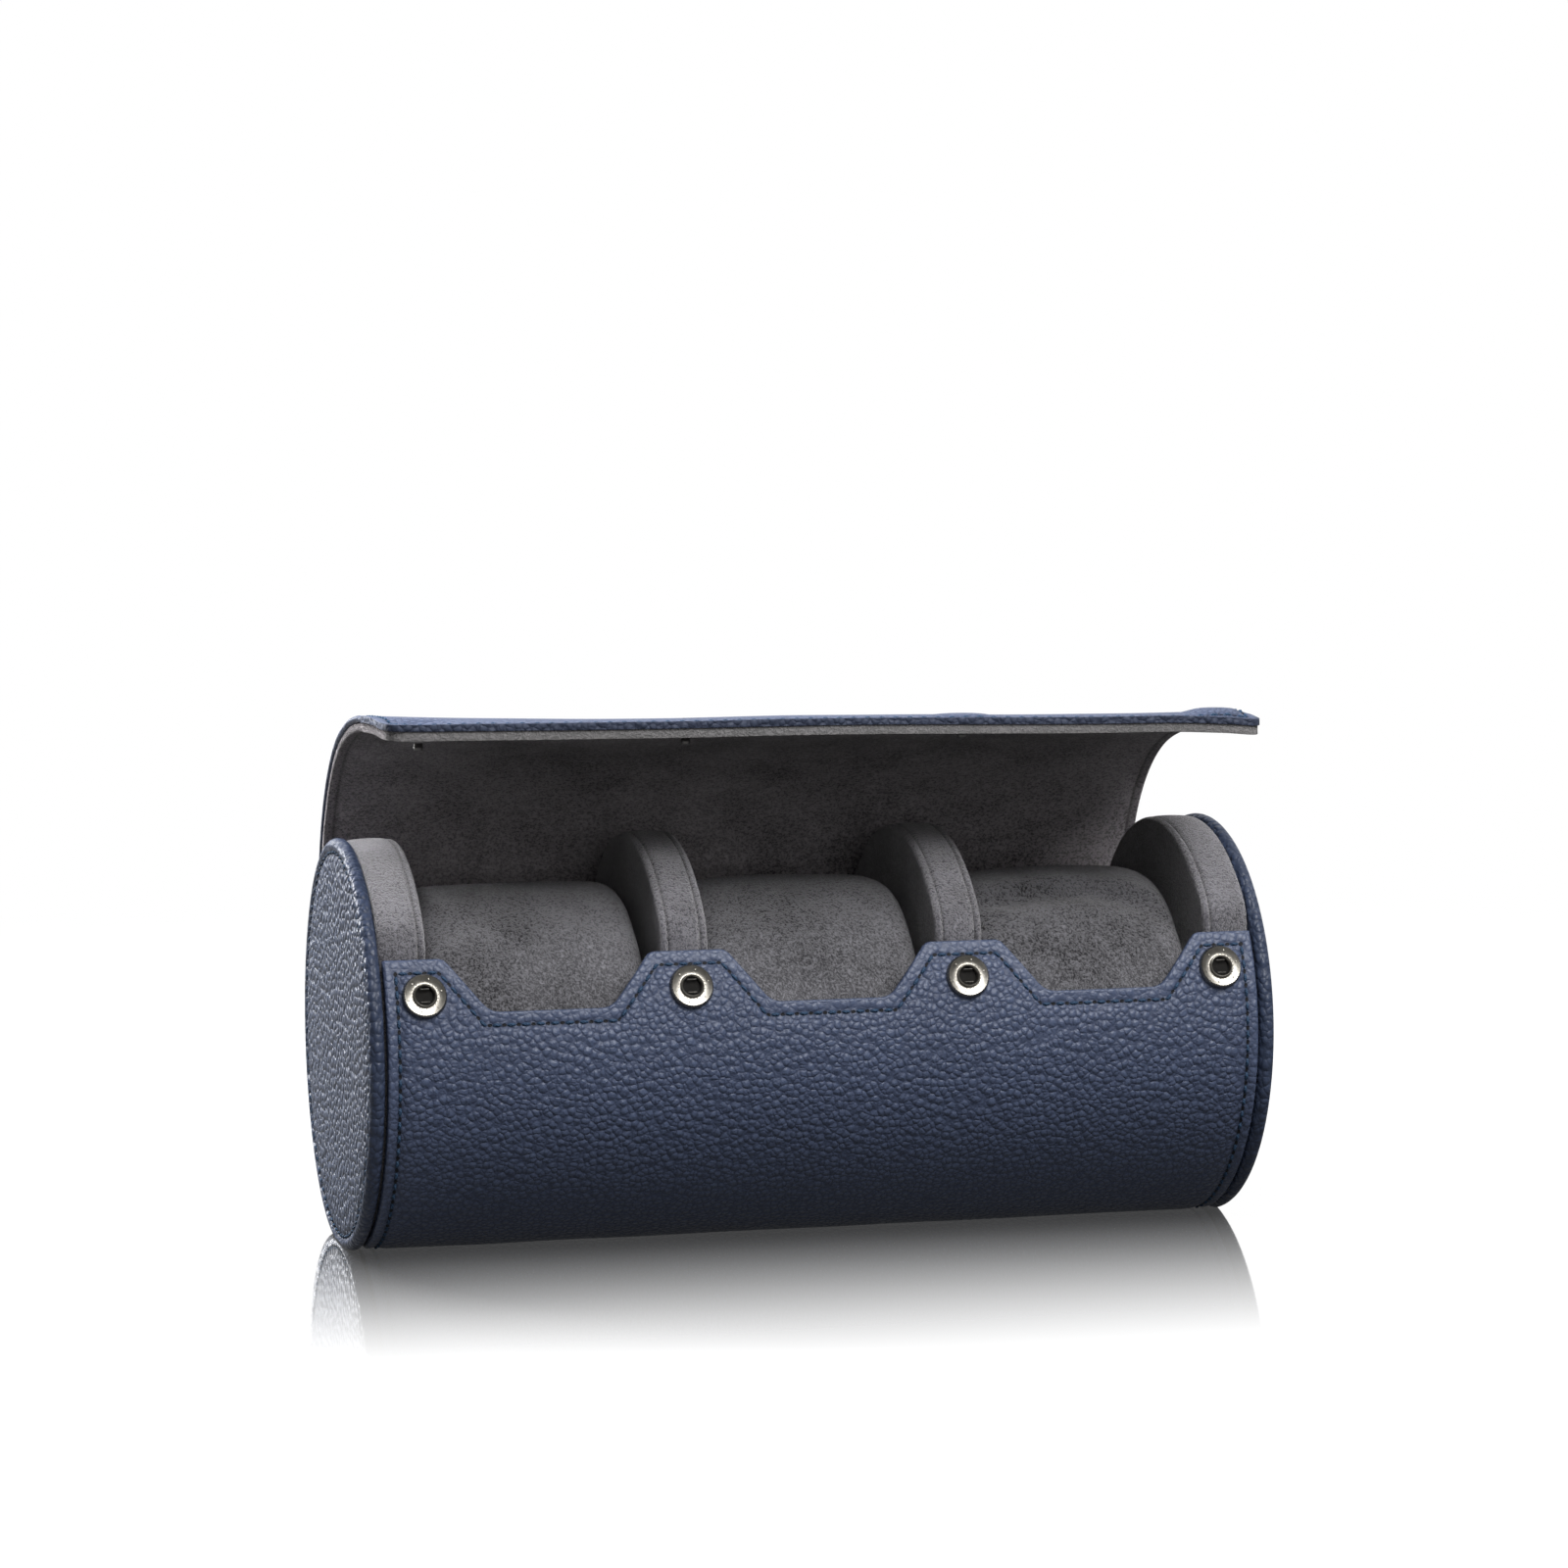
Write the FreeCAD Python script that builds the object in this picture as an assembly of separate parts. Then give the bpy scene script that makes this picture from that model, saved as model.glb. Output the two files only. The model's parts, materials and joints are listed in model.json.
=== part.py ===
# Watch roll: a leather-covered cylinder with three watch cushions and a flexible snap lid.
# Millimetres. X runs along the roll, +Y away from the viewer, +Z up.
# The origin is the centre of the flat that the roll stands on.

import FreeCAD, Part
import math
import os

os.makedirs("parts", exist_ok=True)

# Wall of the roll, from the outside in
wrap_radius = 48.0
leather_thickness = 1.4
board_thickness = 1.2
lining_thickness = 1.0
wrap_length = 206.0
flat_depth = 1.6
board_setback = 1.2
lining_setback = 0.6

# Front edge of the wall: four tabs and three notches, heights above the roll's axis
tab_height = 25.3
notch_height = 13.4
notch_floor_share = 0.428
notch_mouth_share = 0.725
notch_corner_radius = 5.0
tab_corner_radius = 2.5

# Ends: leather cups over a board
end_gap = 0.6
end_thickness = 3.6
end_rim_radius = 1.6

# Suede pads and dividers, whose bare edges stand up to the closed lid
pad_width = 10.5
divider_width = 11.2
suede_thickness = 1.0
pad_edge_inset = 1.4
pad_edge_forward = 1.0
pad_edge_up = 1.0

# Watch cushions
cushion_side_gap = 1.6
cushion_wall_gap = 3.9
cushion_headroom = 8.4
cushion_flank_share = 0.94
cushion_cover_thickness = 1.2
cushion_place_shares = (-1.0, -0.95, -0.82, 0.0, 0.82, 0.95, 1.0)
cushion_girth_shares = (0.94, 0.97, 0.99, 1.0, 0.99, 0.97, 0.94)

# Lid, described closed: a stiff curved back panel and two flap panels
lid_over_pad = 0.7
hinge_height = 8.0
hinge_inset = 1.5
spine_below = 4.7
spine_above = 5.0
flap_fold_angle = 60.8
flap_fold_standoff = 3.2
edge_panel_rise = 13.0
edge_panel_drop = 10.0
lid_corner_radius = 4.0
lid_lining_setback = 1.5
fold_gap = 0.8

# Photographed rest pose, in degrees from closed
lid_open_angle = 24.0
flap_open_angle = 24.0

# Snap fasteners, one on each tab
snap_from_end_share = 0.633
snap_below_tab = 8.1
socket_radius = 5.1
socket_hole_radius = 2.0
socket_height = 1.6
socket_edge_height = 0.7
socket_rim_radius = 4.7
socket_rim_height = 1.1
socket_dish_radius = 3.5
socket_dish_height = 0.75
socket_ring_radius = 3.1
socket_ring_inner_radius = 2.5
socket_lip_height = 1.3
spring_wire_radius = 0.15
spring_offset = 1.5
spring_height = 0.8
snap_back_radius = 4.3
snap_back_thickness = 0.5
snap_post_radius = 1.95
stud_base_radius = 3.4
stud_base_thickness = 0.4
stud_neck_radius = 0.9
stud_head_radius = 1.15
stud_height = 1.9
stud_shoulder_height = 1.3
stud_post_radius = 0.8

# Fits
seat_gap = 0.05
soft_gap = 0.3
snap_clearance = 0.5
overrun = 5.0

# Worked out from the sizes above
wall = leather_thickness + board_thickness + lining_thickness
cavity_radius = wrap_radius - wall
axis_height = wrap_radius - flat_depth
half_length = wrap_length / 2
end_inner_face = half_length + end_gap
end_outer_face = end_inner_face + end_thickness
cell_width = (wrap_length - 2 * pad_width - 2 * divider_width) / 3
cell_pitch = cell_width + divider_width
divider_offset = cell_pitch / 2
notch_floor_width = notch_floor_share * cell_pitch
notch_mouth_width = notch_mouth_share * cell_pitch
outer_tab_width = half_length - cell_pitch - notch_mouth_width / 2
cushion_width = cell_width - 2 * cushion_side_gap
cushion_top = cavity_radius - cushion_headroom
cushion_bottom = -(cavity_radius - flat_depth - soft_gap)
cushion_half_depth = cavity_radius - cushion_wall_gap
snap_angle = math.degrees(math.asin((tab_height - snap_below_tab) / wrap_radius))
outer_snap_offset = half_length - snap_from_end_share * outer_tab_width
snap_offsets = (-outer_snap_offset, -divider_offset, divider_offset, outer_snap_offset)
pad_edge_radius = wrap_radius - pad_edge_inset
pad_centre = (-pad_edge_forward, pad_edge_up)
lid_radius = pad_edge_radius + lid_over_pad
snap_back_seat = cavity_radius + lining_thickness + seat_gap
edge_standoff = wrap_radius + seat_gap + socket_height + snap_clearance
along_x = FreeCAD.Vector(1, 0, 0)
opening_axis = FreeCAD.Vector(-1, 0, 0)


def at(x, y, z):
    """A point whose y and z are measured from the roll's axis."""
    return FreeCAD.Vector(x, y, axis_height + z)


def polar(radius, angle, centre=(0, 0)):
    """The (y, z) place at an angle measured from the front, over the top."""
    turn = math.radians(angle)
    return (centre[0] - radius * math.cos(turn), centre[1] + radius * math.sin(turn))


def step_along(place, heading, distance):
    """Move a (y, z) place along a heading, in degrees from +Y towards +Z."""
    turn = math.radians(heading)
    return (place[0] + distance * math.cos(turn), place[1] + distance * math.sin(turn))


def prism(places, x_start, x_end):
    """A solid between two X planes, over a polygon of (y, z) places."""
    corners = [at(x_start, y, z) for y, z in places]
    outline = Part.makePolygon(corners + corners[:1])
    return Part.Face(outline).extrude(along_x * (x_end - x_start))


def cylinder(radius, x_start, x_end, centre=(0, 0)):
    """A cylinder along X."""
    return Part.makeCylinder(radius, x_end - x_start, at(x_start, *centre), along_x)


def roll_block(radius, x_start, x_end):
    """A cylinder along X with the shallow flat on its underside."""
    drop = radius - flat_depth
    reach = radius + overrun
    below = prism([(-reach, -drop), (reach, -drop), (reach, -reach), (-reach, -reach)],
                  x_start - overrun, x_end + overrun)
    return cylinder(radius, x_start, x_end).cut(below)


def rounded_outline(points, radii, place):
    """A closed wire through the points, with an arc of the given radius at each corner."""
    count = len(points)
    trimmed = []
    for i in range(count):
        corner = FreeCAD.Vector(*points[i])
        before = (FreeCAD.Vector(*points[i - 1]) - corner).normalize()
        after = (FreeCAD.Vector(*points[(i + 1) % count]) - corner).normalize()
        half_angle = before.getAngle(after) / 2
        back = radii[i] / math.tan(half_angle)
        bisector = (before + after).normalize()
        middle = corner + bisector * (radii[i] / math.sin(half_angle) - radii[i])
        trimmed.append((corner + before * back, middle, corner + after * back))
    edges = []
    for i in range(count):
        start, middle, end = [place(p) for p in trimmed[i]]
        if radii[i] > 0:
            edges.append(Part.Arc(start, middle, end).toShape())
        edges.append(Part.LineSegment(end, place(trimmed[(i + 1) % count][0])).toShape())
    return Part.Wire(edges)


def opening_cutter(setback):
    """What is removed from the wall: the mouth of the roll, with the notches at its front."""
    reach = wrap_radius + overrun
    far = half_length + overrun
    tab = tab_height - setback
    floor = notch_height - setback
    points = [(-far, tab, 0)]
    radii = [0]
    for centre in (-cell_pitch, 0, cell_pitch):
        for side in (-1, 1):
            mouth = (centre + side * (notch_mouth_width / 2 + setback), tab, 0)
            base = (centre + side * (notch_floor_width / 2 + setback), floor, 0)
            points += [mouth, base] if side < 0 else [base, mouth]
            radii += ([tab_corner_radius, notch_corner_radius] if side < 0
                      else [notch_corner_radius, tab_corner_radius])
    points += [(far, tab, 0), (far, reach, 0), (-far, reach, 0)]
    radii += [0, 0, 0]
    outline = rounded_outline(points, radii, lambda p: at(p.x, -reach, p.y))
    front = Part.Face(outline).extrude(FreeCAD.Vector(0, reach, 0))
    spine = hinge_height - spine_below
    back = prism([(0, spine), (reach, spine), (reach, reach), (0, reach)], -far, far)
    return front.fuse(back)


def snap_frame(shape, offset, standoff):
    """Set a shape, built about +Z at zero, on a tab's outward normal."""
    tilt = snap_angle - 90
    shape.rotate(FreeCAD.Vector(0, 0, 0), along_x, -tilt)
    y, z = polar(standoff, snap_angle)
    shape.translate(at(offset, y, z))
    return shape


def snap_cylinder(offset, radius, low, high):
    """A cylinder on a tab's outward normal, between two distances from the roll's axis."""
    return snap_frame(Part.makeCylinder(radius, high - low), offset, low)


def revolve(profile):
    """A solid of revolution about Z, from (radius, height) points."""
    corners = [FreeCAD.Vector(r, 0, h) for r, h in profile]
    outline = Part.makePolygon(corners + corners[:1])
    return Part.Face(outline).revolve(FreeCAD.Vector(0, 0, 0), FreeCAD.Vector(0, 0, 1), 360)


def save(name, shapes):
    """Write one node, of one solid or a group of them."""
    solids = [s for shape in shapes for s in shape.Solids]
    result = solids[0] if len(solids) == 1 else Part.makeCompound(solids)
    result.exportStep("parts/" + name + ".step")


def wall_layer(outer, inner, setback):
    """One layer of the wall, with the mouth of the roll cut out."""
    ends = half_length - setback
    ring = roll_block(outer, -ends, ends).cut(roll_block(inner, -ends - overrun, ends + overrun))
    return ring.cut(opening_cutter(setback))


def build_wall():
    """Leather, board and lining of the body, with the snap backs let in."""
    board_outer = wrap_radius - leather_thickness
    lining_outer = board_outer - board_thickness
    leather = wall_layer(wrap_radius, board_outer, 0)
    board = wall_layer(board_outer, lining_outer, board_setback)
    lining = wall_layer(lining_outer, cavity_radius, lining_setback)
    for offset in snap_offsets:
        post_hole = snap_cylinder(offset, snap_post_radius + seat_gap, cavity_radius, edge_standoff)
        back_hole = snap_cylinder(offset, snap_back_radius + seat_gap, cavity_radius, edge_standoff)
        leather = leather.cut(post_hole)
        board = board.cut(back_hole)
    save("wrap_leather", [leather])
    save("wrap_board", [board])
    save("wrap_lining", [lining])


def build_sockets():
    """Snap sockets on the tabs, their spring wires, and the backs that hold them."""
    profile = [
        (socket_hole_radius, 0),
        (socket_radius, 0),
        (socket_radius, socket_edge_height),
        (socket_rim_radius, socket_rim_height),
        (socket_dish_radius, socket_dish_height),
        (socket_ring_radius, socket_height),
        (socket_ring_inner_radius, socket_height),
        (socket_hole_radius, socket_lip_height),
    ]
    seat = wrap_radius + seat_gap
    sockets, springs, backs = [], [], []
    wire_reach = socket_hole_radius - seat_gap
    half_wire = math.sqrt(wire_reach ** 2 - (spring_offset + spring_wire_radius) ** 2)
    for offset in snap_offsets:
        sockets.append(snap_frame(revolve(profile), offset, seat))
        for side in (-1, 1):
            start = FreeCAD.Vector(-half_wire, side * spring_offset, spring_height)
            wire = Part.makeCylinder(spring_wire_radius, 2 * half_wire, start, along_x)
            springs.append(snap_frame(wire, offset, seat))
        flange = Part.makeCylinder(snap_back_radius, snap_back_thickness)
        post = Part.makeCylinder(snap_post_radius, wrap_radius - snap_back_seat)
        backs.append(snap_frame(flange.fuse(post), offset, snap_back_seat))
    save("snap_sockets", sockets)
    save("socket_springs", springs)
    save("socket_backs", backs)


def pad_block(shrink, x_start, x_end):
    """A pad or divider: round within the wall, and standing up to the lid above it."""
    below = roll_block(cavity_radius - seat_gap - shrink, x_start, x_end)
    above = cylinder(pad_edge_radius - shrink, x_start, x_end, pad_centre)
    reach = wrap_radius + overrun
    front = tab_height + soft_gap + shrink
    back = hinge_height + spine_above + soft_gap + shrink
    corners = [(-reach, front), (0, front), (0, back), (reach, back), (reach, reach), (-reach, reach)]
    bounds = prism(corners, x_start, x_end)
    return below.fuse(above.common(bounds)).removeSplitter()


def build_pad(name, x_start, x_end):
    """A suede cover, closed round its core."""
    core = pad_block(suede_thickness, x_start + suede_thickness, x_end - suede_thickness)
    cover = pad_block(0, x_start, x_end).cut(core)
    save(name + "_cover", [cover])
    save(name + "_core", [core])


def build_end(side, name):
    """A leather cup over its board, with a rounded rim."""
    cup = roll_block(wrap_radius, end_inner_face, end_outer_face)
    rim = [e for e in cup.Edges if abs(e.CenterOfMass.x - end_outer_face) < seat_gap]
    cup = cup.makeFillet(end_rim_radius, rim)
    inside = wrap_radius - leather_thickness
    board_face = end_outer_face - leather_thickness
    cup = cup.cut(roll_block(inside, end_inner_face - overrun, board_face))
    board = roll_block(inside - seat_gap, end_inner_face, board_face - seat_gap)
    for node, shape in (("end_leather", cup), ("end_board", board)):
        if side < 0:
            shape = shape.mirror(FreeCAD.Vector(0, 0, 0), along_x)
        save(node + "_" + name, [shape])


def oval(x, half_depth, half_height, flank_radius, middle):
    """A four-arc oval across the roll, wide in Y."""
    flank = half_depth - flank_radius
    rise = (flank ** 2 + half_height ** 2 - flank_radius ** 2) / (2 * (half_height - flank_radius))
    reach = math.atan2(rise - half_height, flank)
    join_y = flank + flank_radius * math.cos(-reach)
    join_z = flank_radius * math.sin(reach)
    corners = [(join_y, join_z), (-join_y, join_z), (-join_y, -join_z), (join_y, -join_z)]
    tops = [(0, half_height), (-half_depth, 0), (0, -half_height), (half_depth, 0)]
    edges = []
    for i in range(len(corners)):
        points = [corners[i], tops[i], corners[(i + 1) % len(corners)]]
        edges.append(Part.Arc(*[at(x, y, middle + z) for y, z in points]).toShape())
    return Part.Wire(edges)


def cushion_block(centre, shrink):
    """A cushion, crowned in the middle of its length and drawn in at its ends."""
    half_height = (cushion_top - cushion_bottom) / 2
    middle = (cushion_top + cushion_bottom) / 2
    half_width = cushion_width / 2 - shrink
    sections = []
    for place, girth in zip(cushion_place_shares, cushion_girth_shares):
        height = girth * half_height - shrink
        sections.append(oval(centre + place * half_width, girth * cushion_half_depth - shrink,
                             height, cushion_flank_share * height, middle))
    return Part.makeLoft(sections, True, True)


def build_cushion(name, centre):
    """A suede cover, closed round its foam core."""
    core = cushion_block(centre, cushion_cover_thickness)
    save("cushion_cover_" + name, [cushion_block(centre, 0).cut(core)])
    save("cushion_core_" + name, [core])


# Joints of the lid, closed, as (y, z) places from the roll's axis
hinge_angle = 180 - math.degrees(math.asin(hinge_height / (wrap_radius - hinge_inset)))
hinge_place = polar(wrap_radius - hinge_inset, hinge_angle)
fold_place = polar(wrap_radius + flap_fold_standoff, flap_fold_angle)
edge_middle = polar(edge_standoff, snap_angle)
curl_place = step_along(edge_middle, 90 - snap_angle, edge_panel_rise)

# Where the curved back panel starts and where its straight front leaves the curve
start_rise = hinge_height + spine_above - pad_edge_up
start_angle = 180 - math.degrees(math.asin(start_rise / lid_radius))
fold_reach = math.dist(fold_place, pad_centre)
fold_angle = math.degrees(math.atan2(fold_place[1] - pad_centre[1], pad_centre[0] - fold_place[0]))
tangent_angle = fold_angle + math.degrees(math.acos(lid_radius / fold_reach))
tangent_place = polar(lid_radius, tangent_angle, pad_centre)
tail_length = math.dist(fold_place, tangent_place)

# Headings of the straight panels, closed
tail_heading = 270 - tangent_angle
flap_heading = math.degrees(math.atan2(curl_place[1] - fold_place[1], curl_place[0] - fold_place[0]))
edge_heading = 270 - snap_angle
flap_length = math.dist(fold_place, curl_place)
edge_length = edge_panel_rise + edge_panel_drop


def opened(place, pivot, angle):
    """A (y, z) place after the lid turns open about a pivot."""
    turn = math.radians(angle)
    y = place[0] - pivot[0]
    z = place[1] - pivot[1]
    return (pivot[0] + y * math.cos(turn) + z * math.sin(turn),
            pivot[1] - y * math.sin(turn) + z * math.cos(turn))


def open_shape(shape, turns):
    """Turn a closed lid piece to the rest pose, about each pivot from the free edge inwards."""
    for pivot, angle in turns:
        shape.rotate(at(0, *pivot), opening_axis, angle)
    return shape


hinge_turn = (hinge_place, lid_open_angle)
fold_turn = (fold_place, flap_open_angle)
curl_turn = (curl_place, flap_open_angle)


def panel(place, heading, begin, end, low, high, trim):
    """A flat panel of the lid, measured along a heading from a place on its inner face."""
    first = step_along(place, heading, begin)
    last = step_along(place, heading, end)
    corners = [step_along(p, heading - 90, d)
               for p, d in ((first, low), (last, low), (last, high), (first, high))]
    return prism(corners, trim - half_length, half_length - trim)


def back_panel(low, high, trim):
    """The curved back panel of the lid and its straight front."""
    ends = half_length - trim
    ring = cylinder(lid_radius + high, -ends, ends, pad_centre)
    ring = ring.cut(cylinder(lid_radius + low, -ends - overrun, ends + overrun, pad_centre))
    reach = 2 * wrap_radius
    middle_angle = (start_angle + tangent_angle) / 2
    wedge = [pad_centre] + [polar(reach, a, pad_centre) for a in (tangent_angle, middle_angle, start_angle)]
    curved = ring.common(prism(wedge, -ends, ends))
    tail = panel(tangent_place, tail_heading, 0, tail_length - fold_gap / 2, low, high, trim)
    return curved.fuse(tail).removeSplitter()


def flap_panel(low, high, trim):
    """The panel between the two folds of the flap."""
    return panel(fold_place, flap_heading, fold_gap / 2, flap_length - fold_gap / 2, low, high, trim)


def edge_panel(low, high, trim):
    """The panel at the lid's front edge, with rounded corners."""
    reach = edge_length - trim
    shape = panel(curl_place, edge_heading, fold_gap / 2, reach, low, high, trim)
    tip = step_along(step_along(curl_place, edge_heading, reach), edge_heading - 90, (low + high) / 2)
    corners = []
    for side in (-1, 1):
        corner = at(side * (half_length - trim), *tip)
        corners += [e for e in shape.Edges if e.CenterOfMass.distanceToPoint(corner) < seat_gap]
    return shape.makeFillet(lid_corner_radius, corners)


def lid_layers():
    """The lid's layers from the inside out: node name, low and high face, setback at the edges."""
    board_low = lining_thickness
    leather_low = board_low + board_thickness
    return (("lining", 0, board_low, lid_lining_setback),
            ("board", board_low, leather_low, board_setback),
            ("leather", leather_low, wall, 0))


def build_studs():
    """Snap studs inside the front edge, with their backs; returns what is let into each layer."""
    stud_profile = [
        (0, -stud_base_thickness),
        (stud_base_radius, -stud_base_thickness),
        (stud_base_radius, 0),
        (stud_neck_radius, 0),
        (stud_head_radius, stud_shoulder_height),
        (stud_neck_radius, stud_height),
        (0, stud_height),
    ]
    post_length = lining_thickness - stud_base_thickness + seat_gap
    studs, backs, pockets = [], [], []
    for offset in snap_offsets:
        stud = revolve(stud_profile)
        stud.rotate(FreeCAD.Vector(0, 0, 0), along_x, 180)
        stud = snap_frame(stud, offset, edge_standoff)
        studs.append(open_shape(stud, (curl_turn, fold_turn, hinge_turn)))
        post = Part.makeCylinder(stud_post_radius, post_length)
        flange = Part.makeCylinder(snap_back_radius, snap_back_thickness, FreeCAD.Vector(0, 0, post_length))
        back = snap_frame(post.fuse(flange), offset, edge_standoff + stud_base_thickness)
        backs.append(open_shape(back, (curl_turn, fold_turn, hinge_turn)))
        board_low = edge_standoff + lining_thickness
        board_high = board_low + board_thickness
        pockets.append(snap_cylinder(offset, stud_base_radius + seat_gap, wrap_radius, board_low))
        pockets.append(snap_cylinder(offset, snap_back_radius + seat_gap, board_low, board_high))
    save("snap_studs", studs)
    save("stud_backs", backs)
    return pockets


def build_lid():
    """The lid's three panels at rest, each of lining, board and leather."""
    pockets = build_studs()
    for layer, low, high, trim in lid_layers():
        back = open_shape(back_panel(low, high, trim), (hinge_turn,))
        flap = open_shape(flap_panel(low, high, trim), (fold_turn, hinge_turn))
        edge = edge_panel(low, high, trim)
        for pocket in pockets:
            edge = edge.cut(pocket)
        edge = open_shape(edge, (curl_turn, fold_turn, hinge_turn))
        save("lid_back_" + layer, [back])
        save("lid_flap_" + layer, [flap])
        save("lid_edge_" + layer, [edge])


def build_spine():
    """The strips of leather and lining without board that the lid turns on, at rest."""
    wall_end = hinge_height - spine_below
    lid_start = start_angle + math.degrees(soft_gap / lid_radius)
    for layer, low, high, trim in lid_layers():
        if layer == "board":
            continue
        strip = []
        for depth in (low, high):
            radius = cavity_radius + depth
            strip.append((math.sqrt(radius ** 2 - wall_end ** 2), wall_end + seat_gap))
        for depth in (high, low):
            strip.append(opened(polar(lid_radius + depth, lid_start, pad_centre), *hinge_turn))
        save("spine_" + layer, [prism(strip, trim - half_length, half_length - trim)])


build_wall()
build_sockets()
build_pad("end_pad_left", -end_inner_face + seat_gap, pad_width - half_length)
build_pad("end_pad_right", half_length - pad_width, end_inner_face - seat_gap)
build_pad("divider_left", -divider_offset - divider_width / 2, -divider_offset + divider_width / 2)
build_pad("divider_right", divider_offset - divider_width / 2, divider_offset + divider_width / 2)
build_end(-1, "left")
build_end(1, "right")
for cushion_name, cushion_centre in (("left", -cell_pitch), ("middle", 0), ("right", cell_pitch)):
    build_cushion(cushion_name, cushion_centre)
build_lid()
build_spine()

fold_rest = opened(fold_place, *hinge_turn)
curl_rest = opened(opened(curl_place, *fold_turn), *hinge_turn)
for joint, place in (("lid hinge", hinge_place), ("flap fold", fold_rest), ("edge fold", curl_rest)):
    print(joint, "at y %.3f, z %.3f" % (place[0], axis_height + place[1]))
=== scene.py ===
import json
import math

import bmesh
import bpy
import numpy as np
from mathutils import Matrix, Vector


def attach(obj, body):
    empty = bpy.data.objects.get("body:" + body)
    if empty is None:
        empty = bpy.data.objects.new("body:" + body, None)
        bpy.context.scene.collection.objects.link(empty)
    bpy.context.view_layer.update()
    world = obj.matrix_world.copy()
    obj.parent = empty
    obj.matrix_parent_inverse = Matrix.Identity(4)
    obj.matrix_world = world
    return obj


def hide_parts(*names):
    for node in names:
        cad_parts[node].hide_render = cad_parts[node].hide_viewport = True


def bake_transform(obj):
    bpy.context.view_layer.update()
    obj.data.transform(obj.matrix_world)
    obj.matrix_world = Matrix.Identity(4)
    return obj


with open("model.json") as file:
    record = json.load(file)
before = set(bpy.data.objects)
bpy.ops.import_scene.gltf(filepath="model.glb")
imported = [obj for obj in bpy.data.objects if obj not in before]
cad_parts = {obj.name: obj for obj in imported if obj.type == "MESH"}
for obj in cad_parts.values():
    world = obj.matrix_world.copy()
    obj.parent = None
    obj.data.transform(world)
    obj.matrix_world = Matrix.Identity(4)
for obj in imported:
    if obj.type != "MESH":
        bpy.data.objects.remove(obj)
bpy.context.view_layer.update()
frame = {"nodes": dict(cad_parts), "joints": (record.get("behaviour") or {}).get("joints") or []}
rng = np.random.default_rng(7)

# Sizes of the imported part, in metres; y and z places of the profile are measured from the roll's axis
MM = 0.001
ROLL_RADIUS = 48.0 * MM
FLAT_DEPTH = 1.6 * MM
WALL = 3.6 * MM
LINING = 1.0 * MM
LID_LINING = 2.0 * MM
HALF_LENGTH = 103.0 * MM
AXIS_HEIGHT = ROLL_RADIUS - FLAT_DEPTH
CAVITY = ROLL_RADIUS - WALL
TAB_HEIGHT = 25.3 * MM
NOTCH_HEIGHT = 13.4 * MM
NOTCH_FLOOR = 28.0 * MM
NOTCH_MOUTH = 47.4 * MM
NOTCH_RADIUS = 5.0 * MM
TAB_RADIUS = 2.5 * MM
CELL_PITCH = 65.4 * MM
DIVIDER_X = 32.7 * MM
DIVIDER_WIDTH = 11.2 * MM
PAD_WIDTH = 10.5 * MM
PAD_RADIUS = 46.6 * MM
PAD_SHIFT = 1.0 * MM
END_INNER = 103.6 * MM
END_OUTER = 107.2 * MM
SNAP_ANGLE = math.asin(17.2 / 48.0)
SNAP_X = (-94.2 * MM, -DIVIDER_X, DIVIDER_X, 94.2 * MM)
STITCH_INSET = 3.0 * MM
STITCH_PITCH = 3.3 * MM
STITCH_LENGTH = 2.7 * MM
THREAD_RADIUS = 0.4 * MM
HOLE_RADIUS = 0.46 * MM
LID_RADIUS = 47.3 * MM
LID_CENTRE = (-1.0 * MM, 1.0 * MM)
LID_OPEN = 24.0
FLAP_OPEN = 24.0
HINGE = (45.807 * MM, 8.0 * MM)
LID_START_ANGLE = 165.3
LID_TANGENT_ANGLE = 79.6
EDGE_LENGTH = 23.0 * MM
LID_CORNER = 4.0 * MM
LINING_SETBACK = 0.4 * MM
STRIP_START = -6.0 * MM
BACK_ANGLE = -math.pi - math.asin(STRIP_START / ROLL_RADIUS)
END_STITCH = HALF_LENGTH - 2.7 * MM
STUD_REACH = 13.0 * MM
PAD_SEAM = 1.8 * MM
PAD_GAP = 0.05 * MM
PAD_ROUNDING = 1.3 * MM

# Sewn lines: depth and width of their groove, how deep the thread lies, and how flat the grain is beside them
GROOVE = 0.35 * MM
GROOVE_WIDTH = 0.7 * MM
WRAP_STITCH_SINK = 0.62 * MM
LID_STITCH_SINK = 0.45 * MM
LID_SEAM_WIDTH = 0.45 * MM
MARGIN_FLATNESS = 0.4
STITCH_RINGS, STITCH_SIDES, HOLE_SIDES = 7, 6, 8
STITCH_SINK = 0.05 * MM

# Mesh and simulation
SMOOTH_ANGLE = 50.0
WELD = 1e-7
SWELL = 1.3 * MM
STUFFING_STEPS = 20

# The photograph's camera
CAMERA_PLACE = (-0.287889, -1.117734, 0.224823)
CAMERA_TILT, CAMERA_TURN = -5.951, -14.471
CAMERA_LENS, CAMERA_SENSOR = 112.5, 36.0


# Mesh helpers

def point_values(mesh, name, values):
    """Keep one number per vertex for the material to read."""
    mesh.attributes.new(name, "FLOAT", "POINT").data.foreach_set("value", np.asarray(values, np.float32))


def points_of(mesh):
    """A mesh's vertices as rows of x, y and z."""
    return np.array([v.co for v in mesh.vertices])


def start_mesh(name, verts, faces, values):
    """A mesh with its numbers per vertex, and the same mesh opened for editing."""
    mesh = bpy.data.meshes.new(name)
    mesh.from_pydata([tuple(v) for v in verts], [], faces)
    for key, numbers in (values or {}).items():
        point_values(mesh, key, numbers)
    bm = bmesh.new()
    bm.from_mesh(mesh)
    return mesh, bm


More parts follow.
